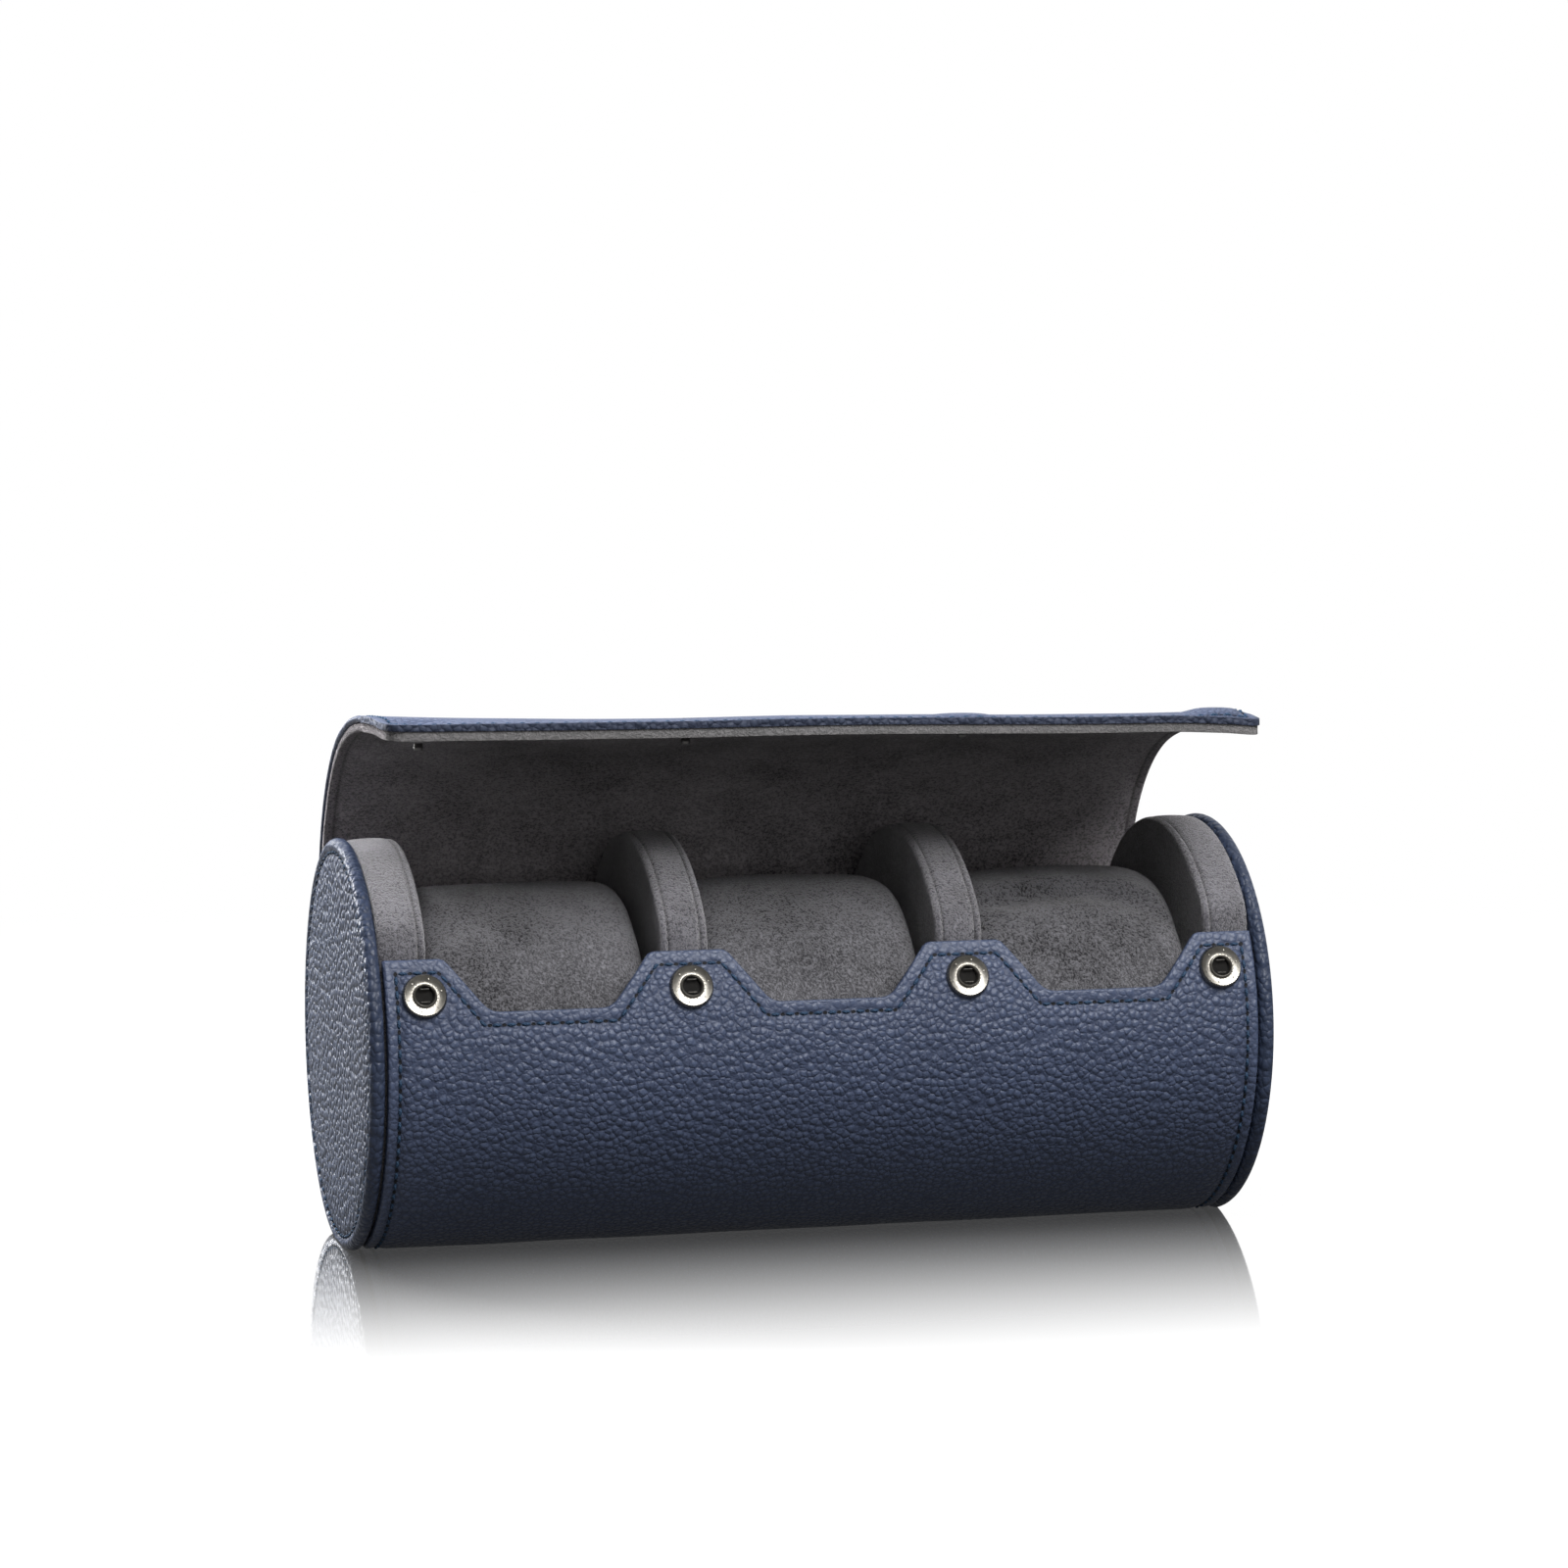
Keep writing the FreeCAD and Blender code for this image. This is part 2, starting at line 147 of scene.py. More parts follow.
def finish_mesh(name, mesh, bm, smooth_angle):
    """A smooth-shaded object of an edited mesh."""
    bm.to_mesh(mesh)
    bm.free()
    mesh.polygons.foreach_set("use_smooth", [True] * len(mesh.polygons))
    mesh.set_sharp_from_angle(angle=math.radians(smooth_angle))
    obj = bpy.data.objects.new(name, mesh)
    bpy.context.scene.collection.objects.link(obj)
    return obj


def mesh_object(name, verts, faces, smooth_angle=SMOOTH_ANGLE, values=None):
    """A smooth-shaded mesh object with outward normals."""
    mesh, bm = start_mesh(name, verts, faces, values)
    bmesh.ops.remove_doubles(bm, verts=bm.verts, dist=WELD)
    bmesh.ops.recalc_face_normals(bm, faces=bm.faces)
    return finish_mesh(name, mesh, bm, smooth_angle)


def grid_faces(rows, cols, wrap_rows=False, wrap_cols=False, base=0):
    """Quads of a grid of vertices, row by row."""
    faces = []
    for i in range(rows if wrap_rows else rows - 1):
        for j in range(cols if wrap_cols else cols - 1):
            k, m = (i + 1) % rows, (j + 1) % cols
            faces.append((base + i * cols + j, base + i * cols + m, base + k * cols + m, base + k * cols + j))
    return faces


def capped_faces(rings, sides, base=0):
    """Faces of a closed tube of vertices, ring by ring."""
    first, last = range(base, base + sides), range(base + (rings - 1) * sides, base + rings * sides)
    return grid_faces(rings, sides, wrap_cols=True, base=base) + [tuple(reversed(first)), tuple(last)]


def revolve_grid(name, points, smooth_angle=SMOOTH_ANGLE):
    """A closed surface from a grid whose rows go round, with its first and last column at a pole."""
    rows, cols = points.shape[:2]
    return mesh_object(name, points.reshape(-1, 3), grid_faces(rows, cols, wrap_rows=True), smooth_angle)


def slab(name, outer, inner, round_rows, bevel, values=None):
    """A closed sheet between two grids (columns along x, rows along the sheet), with rounded free edges."""
    cols, rows = outer.shape[:2]
    count = cols * rows
    verts = np.concatenate([outer.reshape(-1, 3), inner.reshape(-1, 3)])
    faces = grid_faces(cols, rows) + [tuple(reversed(f)) for f in grid_faces(cols, rows, base=count)]
    rim = []

    def wall(a, b, free):
        faces.append((a, b, count + b, count + a))
        if free:
            rim.extend([(a, b), (count + a, count + b)])

    for i in range(cols - 1):
        for j, free in ((0, round_rows[0]), (rows - 1, round_rows[1])):
            wall(i * rows + j, (i + 1) * rows + j, free)
    for j in range(rows - 1):
        for i in (0, cols - 1):
            wall(i * rows + j, i * rows + j + 1, True)
    mesh, bm = start_mesh(name, verts, faces, values)
    bm.verts.ensure_lookup_table()
    edges = [bm.edges.get((bm.verts[a], bm.verts[b])) for a, b in rim]
    bmesh.ops.recalc_face_normals(bm, faces=bm.faces)
    bmesh.ops.bevel(bm, geom=edges, offset=bevel, segments=3, profile=0.5, affect="EDGES", clamp_overlap=True)
    return finish_mesh(name, mesh, bm, SMOOTH_ANGLE)


def unit(vector):
    """A direction of length 1."""
    return vector / np.linalg.norm(vector)


def lengths_along(line):
    """The length from a line's start to each of its points."""
    return np.concatenate([[0], np.cumsum(np.linalg.norm(np.diff(line, axis=0), axis=1))])


def ridge(distance, width):
    """1 on a line, falling off to both sides over a width."""
    return np.exp(-(distance / width) ** 2)


def full_turn(count):
    """Even angles round a circle."""
    return np.linspace(0, 2 * math.pi, count, endpoint=False)


def add_stitches(verts, faces, dark, path, normals):
    """Add a row of sewn stitches along a path, with a needle hole between each two; holes and the thread's ends are
    painted with shade.
    """
    along = lengths_along(path)
    total = along[-1]
    count = max(1, int(total / STITCH_PITCH))
    pitch = total / count

    def read(table, s):
        return np.array([np.interp(s, along, table[:, i]) for i in range(3)])

    def frame_at(s):
        n = unit(read(normals, s))
        d = unit(read(path, min(s + 0.3 * MM, total)) - read(path, max(s - 0.3 * MM, 0)))
        return read(path, s), n, d, np.cross(n, d)

    for k in range(count):
        faces += capped_faces(STITCH_RINGS, STITCH_SIDES, len(verts))
        lift = rng.uniform(-0.03, 0.03) * MM
        for r in range(STITCH_RINGS):
            t = r / (STITCH_RINGS - 1) * 2 - 1
            p, n, _, side = frame_at(np.clip((k + 0.5) * pitch + t * STITCH_LENGTH / 2, 0, total))
            swell = THREAD_RADIUS * (math.sqrt(max(0.0, 1 - t * t)) ** 0.7 * 0.85 + 0.15)
            height = THREAD_RADIUS * (0.8 * (1 - t * t) - 1.1 * t * t) - STITCH_SINK + lift
            verts += [p + n * (height + swell * math.sin(a)) + side * swell * math.cos(a)
                      for a in full_turn(STITCH_SIDES)]
            # Painted shade: the thread darkens towards its ends, where it goes into the holes
            dark += [abs(t) ** 4] * STITCH_SIDES
    for k in range(count + 1):
        faces += capped_faces(3, HOLE_SIDES, len(verts))
        p, n, d, side = frame_at(min(k * pitch, total))
        for lift, size in ((-0.2 * MM, 1.0), (0.22 * MM, 1.0), (0.16 * MM, 0.5)):
            verts += [p + n * lift + (d * 1.15 * math.cos(a) + side * 0.85 * math.sin(a)) * HOLE_RADIUS * size
                      for a in full_turn(HOLE_SIDES)]
            dark += [1.0] * HOLE_SIDES


def stitch_object(name, rows):
    """One object holding several rows of stitches."""
    verts, faces, dark = [], [], []
    for path, normals in rows:
        add_stitches(verts, faces, dark, path, normals)
    return mesh_object(name, verts, faces, 80.0, {"hole": dark})


def waves(x, y, seed, size):
    """Smooth seeded unevenness, between about -1 and 1."""
    r = np.random.default_rng(seed)
    total = np.zeros(np.broadcast(x, y).shape)
    for _ in range(7):
        a, f, p = r.uniform(0, 2 * math.pi), r.uniform(0.5, 1.6) / size, r.uniform(0, 2 * math.pi)
        total = total + np.sin(2 * math.pi * f * (x * math.cos(a) + y * math.sin(a)) + p)
    return total / 4


# Materials

def nodes_of(name):
    """A new node material, its tree and its surface shader."""
    material = bpy.data.materials.new(name)
    material.use_nodes = True
    tree = material.node_tree
    return material, tree, tree.nodes["Principled BSDF"]


def plug(tree, node, inputs):
    """Give a node's inputs plain values or other nodes' outputs."""
    for key, value in inputs.items():
        if isinstance(value, bpy.types.NodeSocket):
            tree.links.new(value, node.inputs[key])
        else:
            node.inputs[key].default_value = value


def add_node(tree, kind, inputs=None, **settings):
    """A node with its settings and inputs."""
    node = tree.nodes.new("ShaderNode" + kind)
    for key, value in settings.items():
        setattr(node, key, value)
    plug(tree, node, inputs or {})
    return node


def ramp(tree, source, stops):
    """A grey ramp over a value."""
    node = add_node(tree, "ValToRGB", {"Fac": source})
    elements = node.color_ramp.elements
    while len(elements) < len(stops):
        elements.new(0.5)
    for element, (place, value) in zip(elements, stops):
        element.position = place
        element.color = (value, value, value, 1)
    return node.outputs["Color"]


def math_node(tree, operation, *values):
    """A Math node over sockets or numbers."""
    return add_node(tree, "Math", dict(enumerate(values)), operation=operation).outputs[0]


def weighted(tree, *parts):
    """The sum of some values, each with its weight."""
    total, *rest = [math_node(tree, "MULTIPLY", value, weight) for value, weight in parts]
    for part in rest:
        total = math_node(tree, "ADD", total, part)
    return total


def mix_colour(tree, factor, *colours):
    """A Mix node over two colours."""
    a, b = ((*c, 1) if isinstance(c, tuple) else c for c in colours)
    return add_node(tree, "Mix", {0: factor, 6: a, 7: b}, data_type="RGBA").outputs[2]


def map_range(tree, source, to, span=(0.0, 1.0), kind="LINEAR"):
    """A value brought from one range to another."""
    inputs = {"Value": source, "From Min": span[0], "From Max": span[1], "To Min": to[0], "To Max": to[1]}
    return add_node(tree, "MapRange", inputs, interpolation_type=kind).outputs["Result"]


def attribute(tree, name):
    """A number kept on the mesh's vertices."""
    return add_node(tree, "Attribute", attribute_name=name).outputs["Fac"]


def place_of(tree, warp=None, stretch=(1, 1, 1)):
    """Object coordinates, stretched, and bent by noise of a given size and scale."""
    coord = add_node(tree, "TexCoord").outputs["Object"]
    place = add_node(tree, "Mapping", {"Vector": coord, "Scale": stretch}).outputs["Vector"]
    if not warp:
        return place
    size, scale = warp
    noise = add_node(tree, "TexNoise", {"Vector": place, "Scale": scale, "Detail": 2.0}).outputs["Color"]
    centred = add_node(tree, "VectorMath", {0: noise, 1: (0.5, 0.5, 0.5)}, operation="SUBTRACT").outputs[0]
    scaled = add_node(tree, "VectorMath", {0: centred, "Scale": size}, operation="SCALE").outputs[0]
    return add_node(tree, "VectorMath", {0: place, 1: scaled}, operation="ADD").outputs[0]


def noise_value(tree, place, scale, detail=3.0, roughness=0.55):
    """A noise texture's value."""
    inputs = {"Vector": place, "Scale": scale, "Detail": detail, "Roughness": roughness}
    return add_node(tree, "TexNoise", inputs).outputs["Fac"]


def finish_shader(tree, shader, height, relief, inputs):
    """Give a shader its bump (strength and distance) and its other inputs."""
    bump = add_node(tree, "Bump", {"Height": height, "Strength": relief[0], "Distance": relief[1]})
    plug(tree, shader, {"Normal": bump.outputs["Normal"], **inputs})


def scaled_colour(colour, share):
    """A colour made darker or lighter."""
    return tuple(share * c for c in colour)


def leather_material(name, top, valley_shade, pebble=1.55 * MM, depth=0.42 * MM, roughness=(0.46, 0.62),
                     shine=0.36, fineness=1.0):
    """Pebbled leather: domed grains with soft creases painted with shade, flatter where the piece says so, and painted
    shade along a sewn line.
    """
    material, tree, shader = nodes_of(name)
    place = place_of(tree, (0.9 * MM, 520.0))

    def cells(feature, scale, stops, **inputs):
        inputs = {"Vector": place, "Scale": scale / pebble, **inputs}
        return ramp(tree, add_node(tree, "TexVoronoi", inputs, feature=feature).outputs["Distance"], stops)

    dome = cells("SMOOTH_F1", 1, ((0.0, 1.0), (0.22, 0.93), (0.42, 0.68), (0.6, 0.32), (0.78, 0.0)), Smoothness=0.22)
    line = cells("DISTANCE_TO_EDGE", 1, ((0.0, 0.0), (0.07, 0.32), (0.17, 0.78), (0.32, 1.0)))
    fine = cells("SMOOTH_F1", 2.7, ((0.1, 1.0), (0.75, 0.0)), Smoothness=0.3)
    micro = noise_value(tree, place_of(tree), 3200.0)
    grain = weighted(tree, (dome, 0.82), (line, 0.13), (fine, 0.13 * fineness), (micro, 0.06 * fineness))
    keep = math_node(tree, "SUBTRACT", 1.0, attribute(tree, "smoothness"))
    crease = math_node(tree, "MULTIPLY", math_node(tree, "SUBTRACT", 1.0, line), keep)
    seam = attribute(tree, "seam")
    cloud = noise_value(tree, place_of(tree), 35.0, 4.0)
    tone = mix_colour(tree, cloud, scaled_colour(top, 0.88), scaled_colour(top, 1.12))
    # Painted shade: the creases between the grains are darkened, less on the pressed margin
    tone = mix_colour(tree, math_node(tree, "MULTIPLY", crease, 0.6), tone, valley_shade)
    # Painted shade along the sewn grooves; some pieces also mark a darker edge here
    tone = mix_colour(tree, seam, tone, scaled_colour(valley_shade, 0.35))
    matt = math_node(tree, "ADD", map_range(tree, crease, roughness), math_node(tree, "MULTIPLY", seam, 0.35))
    finish_shader(tree, shader, math_node(tree, "MULTIPLY", grain, keep), (1.0, depth),
                  {"Base Color": tone, "Roughness": matt, "Specular IOR Level": shine})
    return material


def suede_material(name, dark, light, brush=(1.0, 1.0, 1.0), sheen=0.25, mottle=0.42):
    """Brushed microsuede: fine fibres, paler and darker where the nap lies differently."""
    material, tree, shader = nodes_of(name)
    place = place_of(tree, stretch=brush)
    fibre = noise_value(tree, place, 2200.0, 3.0, 0.7)
    speck = noise_value(tree, place, 1200.0, 3.0, 0.6)
    strokes = noise_value(tree, place_of(tree, (6 * MM, 60.0), brush), 110.0, 4.0, 0.6)
    patches = noise_value(tree, place_of(tree, (8 * MM, 40.0)), 36.0, 2.0)
    lie = ramp(tree, weighted(tree, (strokes, 0.45), (patches, 0.55)), ((0.38, 0.0), (0.62, 1.0)))
    grit = ramp(tree, weighted(tree, (fibre, 0.62), (speck, 0.38)), ((0.44, 0.0), (0.56, 1.0)))
    tone = mix_colour(tree, weighted(tree, (lie, mottle), (grit, 0.58)), dark, light)
    # Painted shade along the sewn grooves
    tone = mix_colour(tree, attribute(tree, "seam"), tone, scaled_colour(dark, 0.25))
    # Painted shade on the marked front edge of the lining
    tone = mix_colour(tree, attribute(tree, "edge_shade"), tone, EDGE_SHADE_SUEDE)
    nap = math_node(tree, "ADD", grit, math_node(tree, "MULTIPLY", lie, 0.5))
    finish_shader(tree, shader, nap, (1.0, 0.2 * MM), {
        "Base Color": tone, "Roughness": 0.95, "Specular IOR Level": 0.12, "Sheen Weight": sheen,
        "Sheen Roughness": 0.45, "Sheen Tint": (0.9, 0.88, 0.88, 1)})
    return material


def metal_material(name, base, roughness, patina):
    """Plated metal with fine turning marks and a little tarnish."""
    material, tree, shader = nodes_of(name)
    place = place_of(tree)
    marks = noise_value(tree, place, 1500.0, 4.0)
    stain = ramp(tree, noise_value(tree, place, 420.0), ((0.4, 0.0), (0.75, 1.0)))
    rough = map_range(tree, marks, (roughness * 0.75, roughness * 1.35))
    finish_shader(tree, shader, marks, (0.3, 0.03 * MM), {
        "Base Color": mix_colour(tree, stain, base, patina), "Roughness": rough, "Metallic": 1.0})
    return material


def thread_material(name, dark, light):
    """Twisted thread: fine slanting plies, with painted shade in the needle holes."""
    material, tree, shader = nodes_of(name)
    inputs = {"Vector": place_of(tree), "Scale": 900.0, "Distortion": 1.5}
    plies = add_node(tree, "TexWave", inputs, bands_direction="DIAGONAL").outputs["Fac"]
    tone = mix_colour(tree, attribute(tree, "hole"), mix_colour(tree, plies, dark, light), NEEDLE_HOLE_SHADE)
    finish_shader(tree, shader, plies, (0.6, 0.06 * MM),
                  {"Base Color": tone, "Roughness": 0.7, "Specular IOR Level": 0.25})
    return material


def dull_material(name, dark, light, scale):
    """A matt, slightly uneven colour."""
    material, tree, shader = nodes_of(name)
    value = noise_value(tree, place_of(tree), scale, 4.0)
    finish_shader(tree, shader, value, (0.5, 0.1 * MM), {
        "Base Color": mix_colour(tree, value, dark, light), "Roughness": 0.9, "Specular IOR Level": 0.06})
    return material


# Painted shade: a flat darker grey for the lining's front edge, taking back the lining's painted light where the key
# lamp reaches it
EDGE_SHADE_SUEDE = (0.115, 0.115, 0.113)
# Painted shade: near black for the needle holes and the thread's ends going into them
NEEDLE_HOLE_SHADE = (0.001, 0.0012, 0.003)
NAVY = leather_material("navy_leather", (0.044, 0.058, 0.102), (0.013, 0.018, 0.040))
# Painted shade: the ends use a darker copy of the navy leather
NAVY_END_SHADED = leather_material("navy_leather_ends_shaded", (0.036, 0.049, 0.088), (0.005, 0.008, 0.018),
                            1.9 * MM, 0.7 * MM, (0.3, 0.6), 0.26, 0.3)
SUEDE = suede_material("grey_suede", (0.034, 0.033, 0.038), (0.176, 0.172, 0.192), sheen=0.5)
# Painted light: the lining is the grey suede made paler, standing in for light that the lid's inside lacks
LINING_PAINTED_LIGHT = suede_material("grey_lining", (0.060, 0.054, 0.059), (0.345, 0.318, 0.337),
                              brush=(0.8, 1.0, 1.0), mottle=0.45)
CUSHION_SUEDE = suede_material("cushion_suede", (0.016, 0.0155, 0.0175), (0.141, 0.139, 0.152),
                               brush=(1.0, 0.8, 0.8))
NICKEL = metal_material("nickel", (0.29, 0.276, 0.248), 0.31, (0.2, 0.188, 0.165))
DARK_NICKEL = metal_material("dark_nickel", (0.16, 0.155, 0.15), 0.3, (0.08, 0.08, 0.08))
# Painted shade: the springs are made nearly black for the shade inside the sockets
SPRING_IN_SHADE = metal_material("spring_steel_in_shade", (0.06, 0.057, 0.052), 0.42, (0.03, 0.03, 0.03))
# Painted shade: near-black matt wells inside the sockets, where there is shade
WELL_SHADE = dull_material("well_painted_shade", (0.006, 0.006, 0.006), (0.016, 0.015, 0.014), 900.0)
THREAD = thread_material("navy_thread", (0.007, 0.019, 0.042), (0.024, 0.055, 0.105))


def dress(obj, material, body=None, replaces=()):
    """Material and body of a piece, and the nodes it stands for."""
    obj.data.materials.clear()
    obj.data.materials.append(material)
    if body:
        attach(obj, body)
    if replaces:
        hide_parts(*replaces)
    return obj


# The wall

def fillet_line(points, radii):
    """An open line through the points, with an arc at each inner corner, as dense points."""
    points = [np.array(p, float) for p in points]
    out = [points[0]]
    for i in range(1, len(points) - 1):
        before, after = unit(points[i - 1] - points[i]), unit(points[i + 1] - points[i])
        half = math.acos(np.clip(before @ after, -1, 1)) / 2
        back = radii[i] / math.tan(half)
        start, end = points[i] + before * back, points[i] + after * back
        centre = points[i] + unit(before + after) * radii[i] / math.sin(half)
        out += [centre + unit(start * (1 - t) + end * t - centre) * radii[i] for t in np.linspace(0, 1, 12)]
    out.append(points[-1])
    return np.array(out)


def front_edge(inset):
    """Height of the wall's front edge over x, drawn in by an inset, above the roll's axis."""
    slope = math.atan2(TAB_HEIGHT - NOTCH_HEIGHT, (NOTCH_MOUTH - NOTCH_FLOOR) / 2)
    spread = inset * math.tan(slope / 2)
    tab, notch = TAB_HEIGHT - inset, NOTCH_HEIGHT - inset
    tab_round, notch_round = (TAB_RADIUS, NOTCH_RADIUS) if inset < MM else (0.7 * MM, 1.2 * MM)
    mouth, floor = NOTCH_MOUTH / 2 + spread, NOTCH_FLOOR / 2 + spread
    points, radii = [(-0.2, tab)], [0]
    for centre in (-CELL_PITCH, 0, CELL_PITCH):
        points += [(centre - mouth, tab), (centre - floor, notch), (centre + floor, notch), (centre + mouth, tab)]
        radii += [tab_round, notch_round, notch_round, tab_round]
    line = fillet_line([*points, (0.2, tab)], [*radii, 0])
    return lambda x: np.interp(x, line[:, 0], line[:, 1])


def wall_point(x, angle, radius):
    """A point of the wall; the angle is measured from the front, upwards, and the underside is flat."""
    z = np.maximum(radius * np.sin(angle), -(radius - FLAT_DEPTH))
    return np.stack(np.broadcast_arrays(x, -radius * np.cos(angle), AXIS_HEIGHT + z), axis=-1)


def clustered(low, high, step, extra):
    """Even places between two ends, with some extra places among them."""
    base = np.linspace(low, high, int(round((high - low) / step)) + 1)
    extra = [e for e in extra if low < e < high]
    base = [b for b in base if all(abs(b - e) > step * 0.35 for e in extra) or b in (low, high)]
    return np.array(sorted(set(base) | set(extra)))


def radial(angle):
    """The wall's outward direction."""
    return np.stack([0 * angle, -np.cos(angle), np.sin(angle)], axis=-1)


def mark_margin(mesh, xs, stitch):
    """The grain is pressed flat along the sewn margin of the wall, and its sewn lines are painted with shade."""
    x, y, z = (points_of(mesh) - (0, 0, AXIS_HEIGHT)).T
    from_end = np.abs(x) - END_STITCH
    above = np.where(y < 0, np.clip((z - front_edge(STITCH_INSET)(x)) / (2 * MM) + 0.5, 0, 1), 0)
    ends = np.clip(from_end / (2 * MM) + 0.5, 0, 1)
    point_values(mesh, "smoothness", MARGIN_FLATNESS * np.maximum(above, ends))
    from_row = (np.arctan2(z, -y) - np.interp(x, xs, stitch)) * ROLL_RADIUS
    front = (from_end < 0.4 * MM) & (y < 0)
    below = (y > 0) | (from_row < 0.4 * MM)
    dark = np.maximum(ridge(from_row, 0.5 * MM) * front, ridge(from_end, 0.5 * MM) * below)
    point_values(mesh, "seam", 0.45 * dark * (np.hypot(y, z) > ROLL_RADIUS - 1.2 * MM))


def build_wrap():
    """The leather-covered wall, with a stitched margin along its edges."""
    near = [side * (END_STITCH + d * MM) for side in (-1, 1) for d in (-1.6, -0.6, 0, 0.6, 1.4, 2.1)]
    xs = clustered(-HALF_LENGTH, HALF_LENGTH, 1.0 * MM, near)
    top, stitch = (np.arcsin(front_edge(inset)(xs) / ROLL_RADIUS) for inset in (0, STITCH_INSET))
    gap = 0.6 * MM / ROLL_RADIUS
    margin = [top, top * 0.78 + stitch * 0.22, (top + stitch) / 2, stitch + 2 * gap, stitch + gap, stitch,
              stitch - gap, stitch - 2.2 * gap]
    rest = [margin[-1] + (BACK_ANGLE - margin[-1]) * t for t in np.linspace(0, 1, 96)[1:]]
    angles = np.stack(margin + rest, axis=1)
    x = xs[:, None] + 0 * angles
    from_row = (angles - stitch[:, None]) * ROLL_RADIUS
    from_end = np.abs(x) - END_STITCH
    inside = np.clip(-from_end / (3 * MM), 0, 1) * np.clip(-from_row / (3 * MM), 0, 1)
    groove = np.maximum(ridge(from_row, GROOVE_WIDTH) * (from_end < 0.3 * MM),
                        ridge(from_end, GROOVE_WIDTH) * (from_row < 0.3 * MM))
    uneven = 0.08 * MM * waves(x, angles * ROLL_RADIUS, 3, 30 * MM)
    puff = 0.25 * MM * (inside - 1) - GROOVE * groove + uneven * inside
    outer = wall_point(x, angles, ROLL_RADIUS + puff)
    outer[..., 2] = np.maximum(outer[..., 2], 0)
    obj = slab("wrap", outer, wall_point(x, angles, CAVITY + LINING), (True, False), 0.75 * MM)
    mark_margin(obj.data, xs, stitch)
    dress(obj, NAVY, "roll_body", ("wrap_leather", "wrap_board"))
    # Sewn rows: along the notched edge and down both ends
    line_x = np.linspace(-END_STITCH, END_STITCH, 1200)
    line_a = np.arcsin(front_edge(STITCH_INSET)(line_x) / ROLL_RADIUS)
    down = np.linspace(math.asin((TAB_HEIGHT - STITCH_INSET) / ROLL_RADIUS), BACK_ANGLE, 500)
    rows = [(wall_point(row_x, a, ROLL_RADIUS - WRAP_STITCH_SINK), radial(a))
            for row_x, a in ((line_x, line_a), (0 * down - END_STITCH, down), (0 * down + END_STITCH, down))]
    dress(stitch_object("wrap_stitching", rows), THREAD, "roll_body")


def build_wall_lining():
    """The suede inside the wall, drawn in a little from its edge."""
    xs = clustered(-HALF_LENGTH + 0.6 * MM, HALF_LENGTH - 0.6 * MM, 1.6 * MM, ())
    top = np.arcsin((front_edge(1.9 * MM)(xs)) / CAVITY)
    angles = np.stack([top + (BACK_ANGLE - top) * t for t in np.linspace(0, 1, 70)], axis=1)
    x = xs[:, None] + 0 * angles
    obj = slab("wrap_lining_cloth", wall_point(x, angles, CAVITY + LINING), wall_point(x, angles, CAVITY),
               (True, False), 0.4 * MM)
    dress(obj, LINING_PAINTED_LIGHT, "roll_body", ("wrap_lining",))


# The ends

def build_end(side, name):
    """A leather-covered disc with a sewn, rounded rim and a slightly filled face."""
    turns = full_turn(192)
    face, rim, groove_at = END_OUTER, 1.75 * MM, ROLL_RADIUS - 3.3 * MM
    crown = face + 0.15 * MM
    profile = [(0, crown)]
    profile += [(share * groove_at, crown - 0.25 * MM * share ** 4) for share in np.linspace(0.1, 0.9, 14)]
    profile += [(groove_at + d * MM, face - sink * MM) for d, sink in (
        (-2.2, 0.2), (-1.2, 0.32), (-0.6, 0.5), (0, 0.72), (0.5, 0.5), (1.0, 0.22))]
    profile += [(ROLL_RADIUS - rim + rim * math.cos(t), face - 0.1 * MM - rim + rim * math.sin(t))
                for t in np.radians(np.linspace(90, -80, 12))]
    profile += [(ROLL_RADIUS - 2.2 * MM, END_INNER), (ROLL_RADIUS * 0.6, END_INNER), (0, END_INNER)]
    r, x = np.array(profile).T
    points = np.stack([np.outer(np.ones(len(turns)), side * x), np.outer(-np.cos(turns), r),
                       np.outer(np.sin(turns), r)], axis=-1)
    filled = points[:, :14]
    fullness = np.clip(1 - np.abs(filled[..., 1]) / ROLL_RADIUS, 0, 1)
    filled[..., 0] += side * 0.12 * MM * waves(filled[..., 1], filled[..., 2], 11, 26 * MM) * fullness
    points[..., 2] = np.maximum(points[..., 2], -AXIS_HEIGHT) + AXIS_HEIGHT
    obj = revolve_grid(f"end_{name}", points)
    co = points_of(obj.data)
    r = np.hypot(co[:, 1], co[:, 2] - AXIS_HEIGHT)
    point_values(obj.data, "smoothness", 0.45 * np.clip((r - groove_at) / (1 * MM), 0, 1))
    # Painted shade along the sewn groove of the face; the outer edge of the rim is made darker too
    row = 0.5 * ridge(r - groove_at, 0.45 * MM) * (np.abs(co[:, 0]) > END_INNER + 1 * MM)
    outline = 0.3 * np.clip((r - ROLL_RADIUS + 1.2 * MM) / (1.0 * MM), 0, 1)
    point_values(obj.data, "seam", np.maximum(row, outline))
    dress(obj, NAVY_END_SHADED, "roll_body", (f"end_leather_{name}", f"end_board_{name}"))
    a = np.linspace(0, 2 * math.pi, 600)
    path = np.stack([0 * a + side * (face - 0.78 * MM), -groove_at * np.cos(a),
                     AXIS_HEIGHT + groove_at * np.sin(a)], axis=-1)
    normal = np.tile((side, 0, 0), (len(a), 1))
    dress(stitch_object(f"end_stitching_{name}", [(path, normal)]), THREAD, "roll_body")


# Pads and dividers

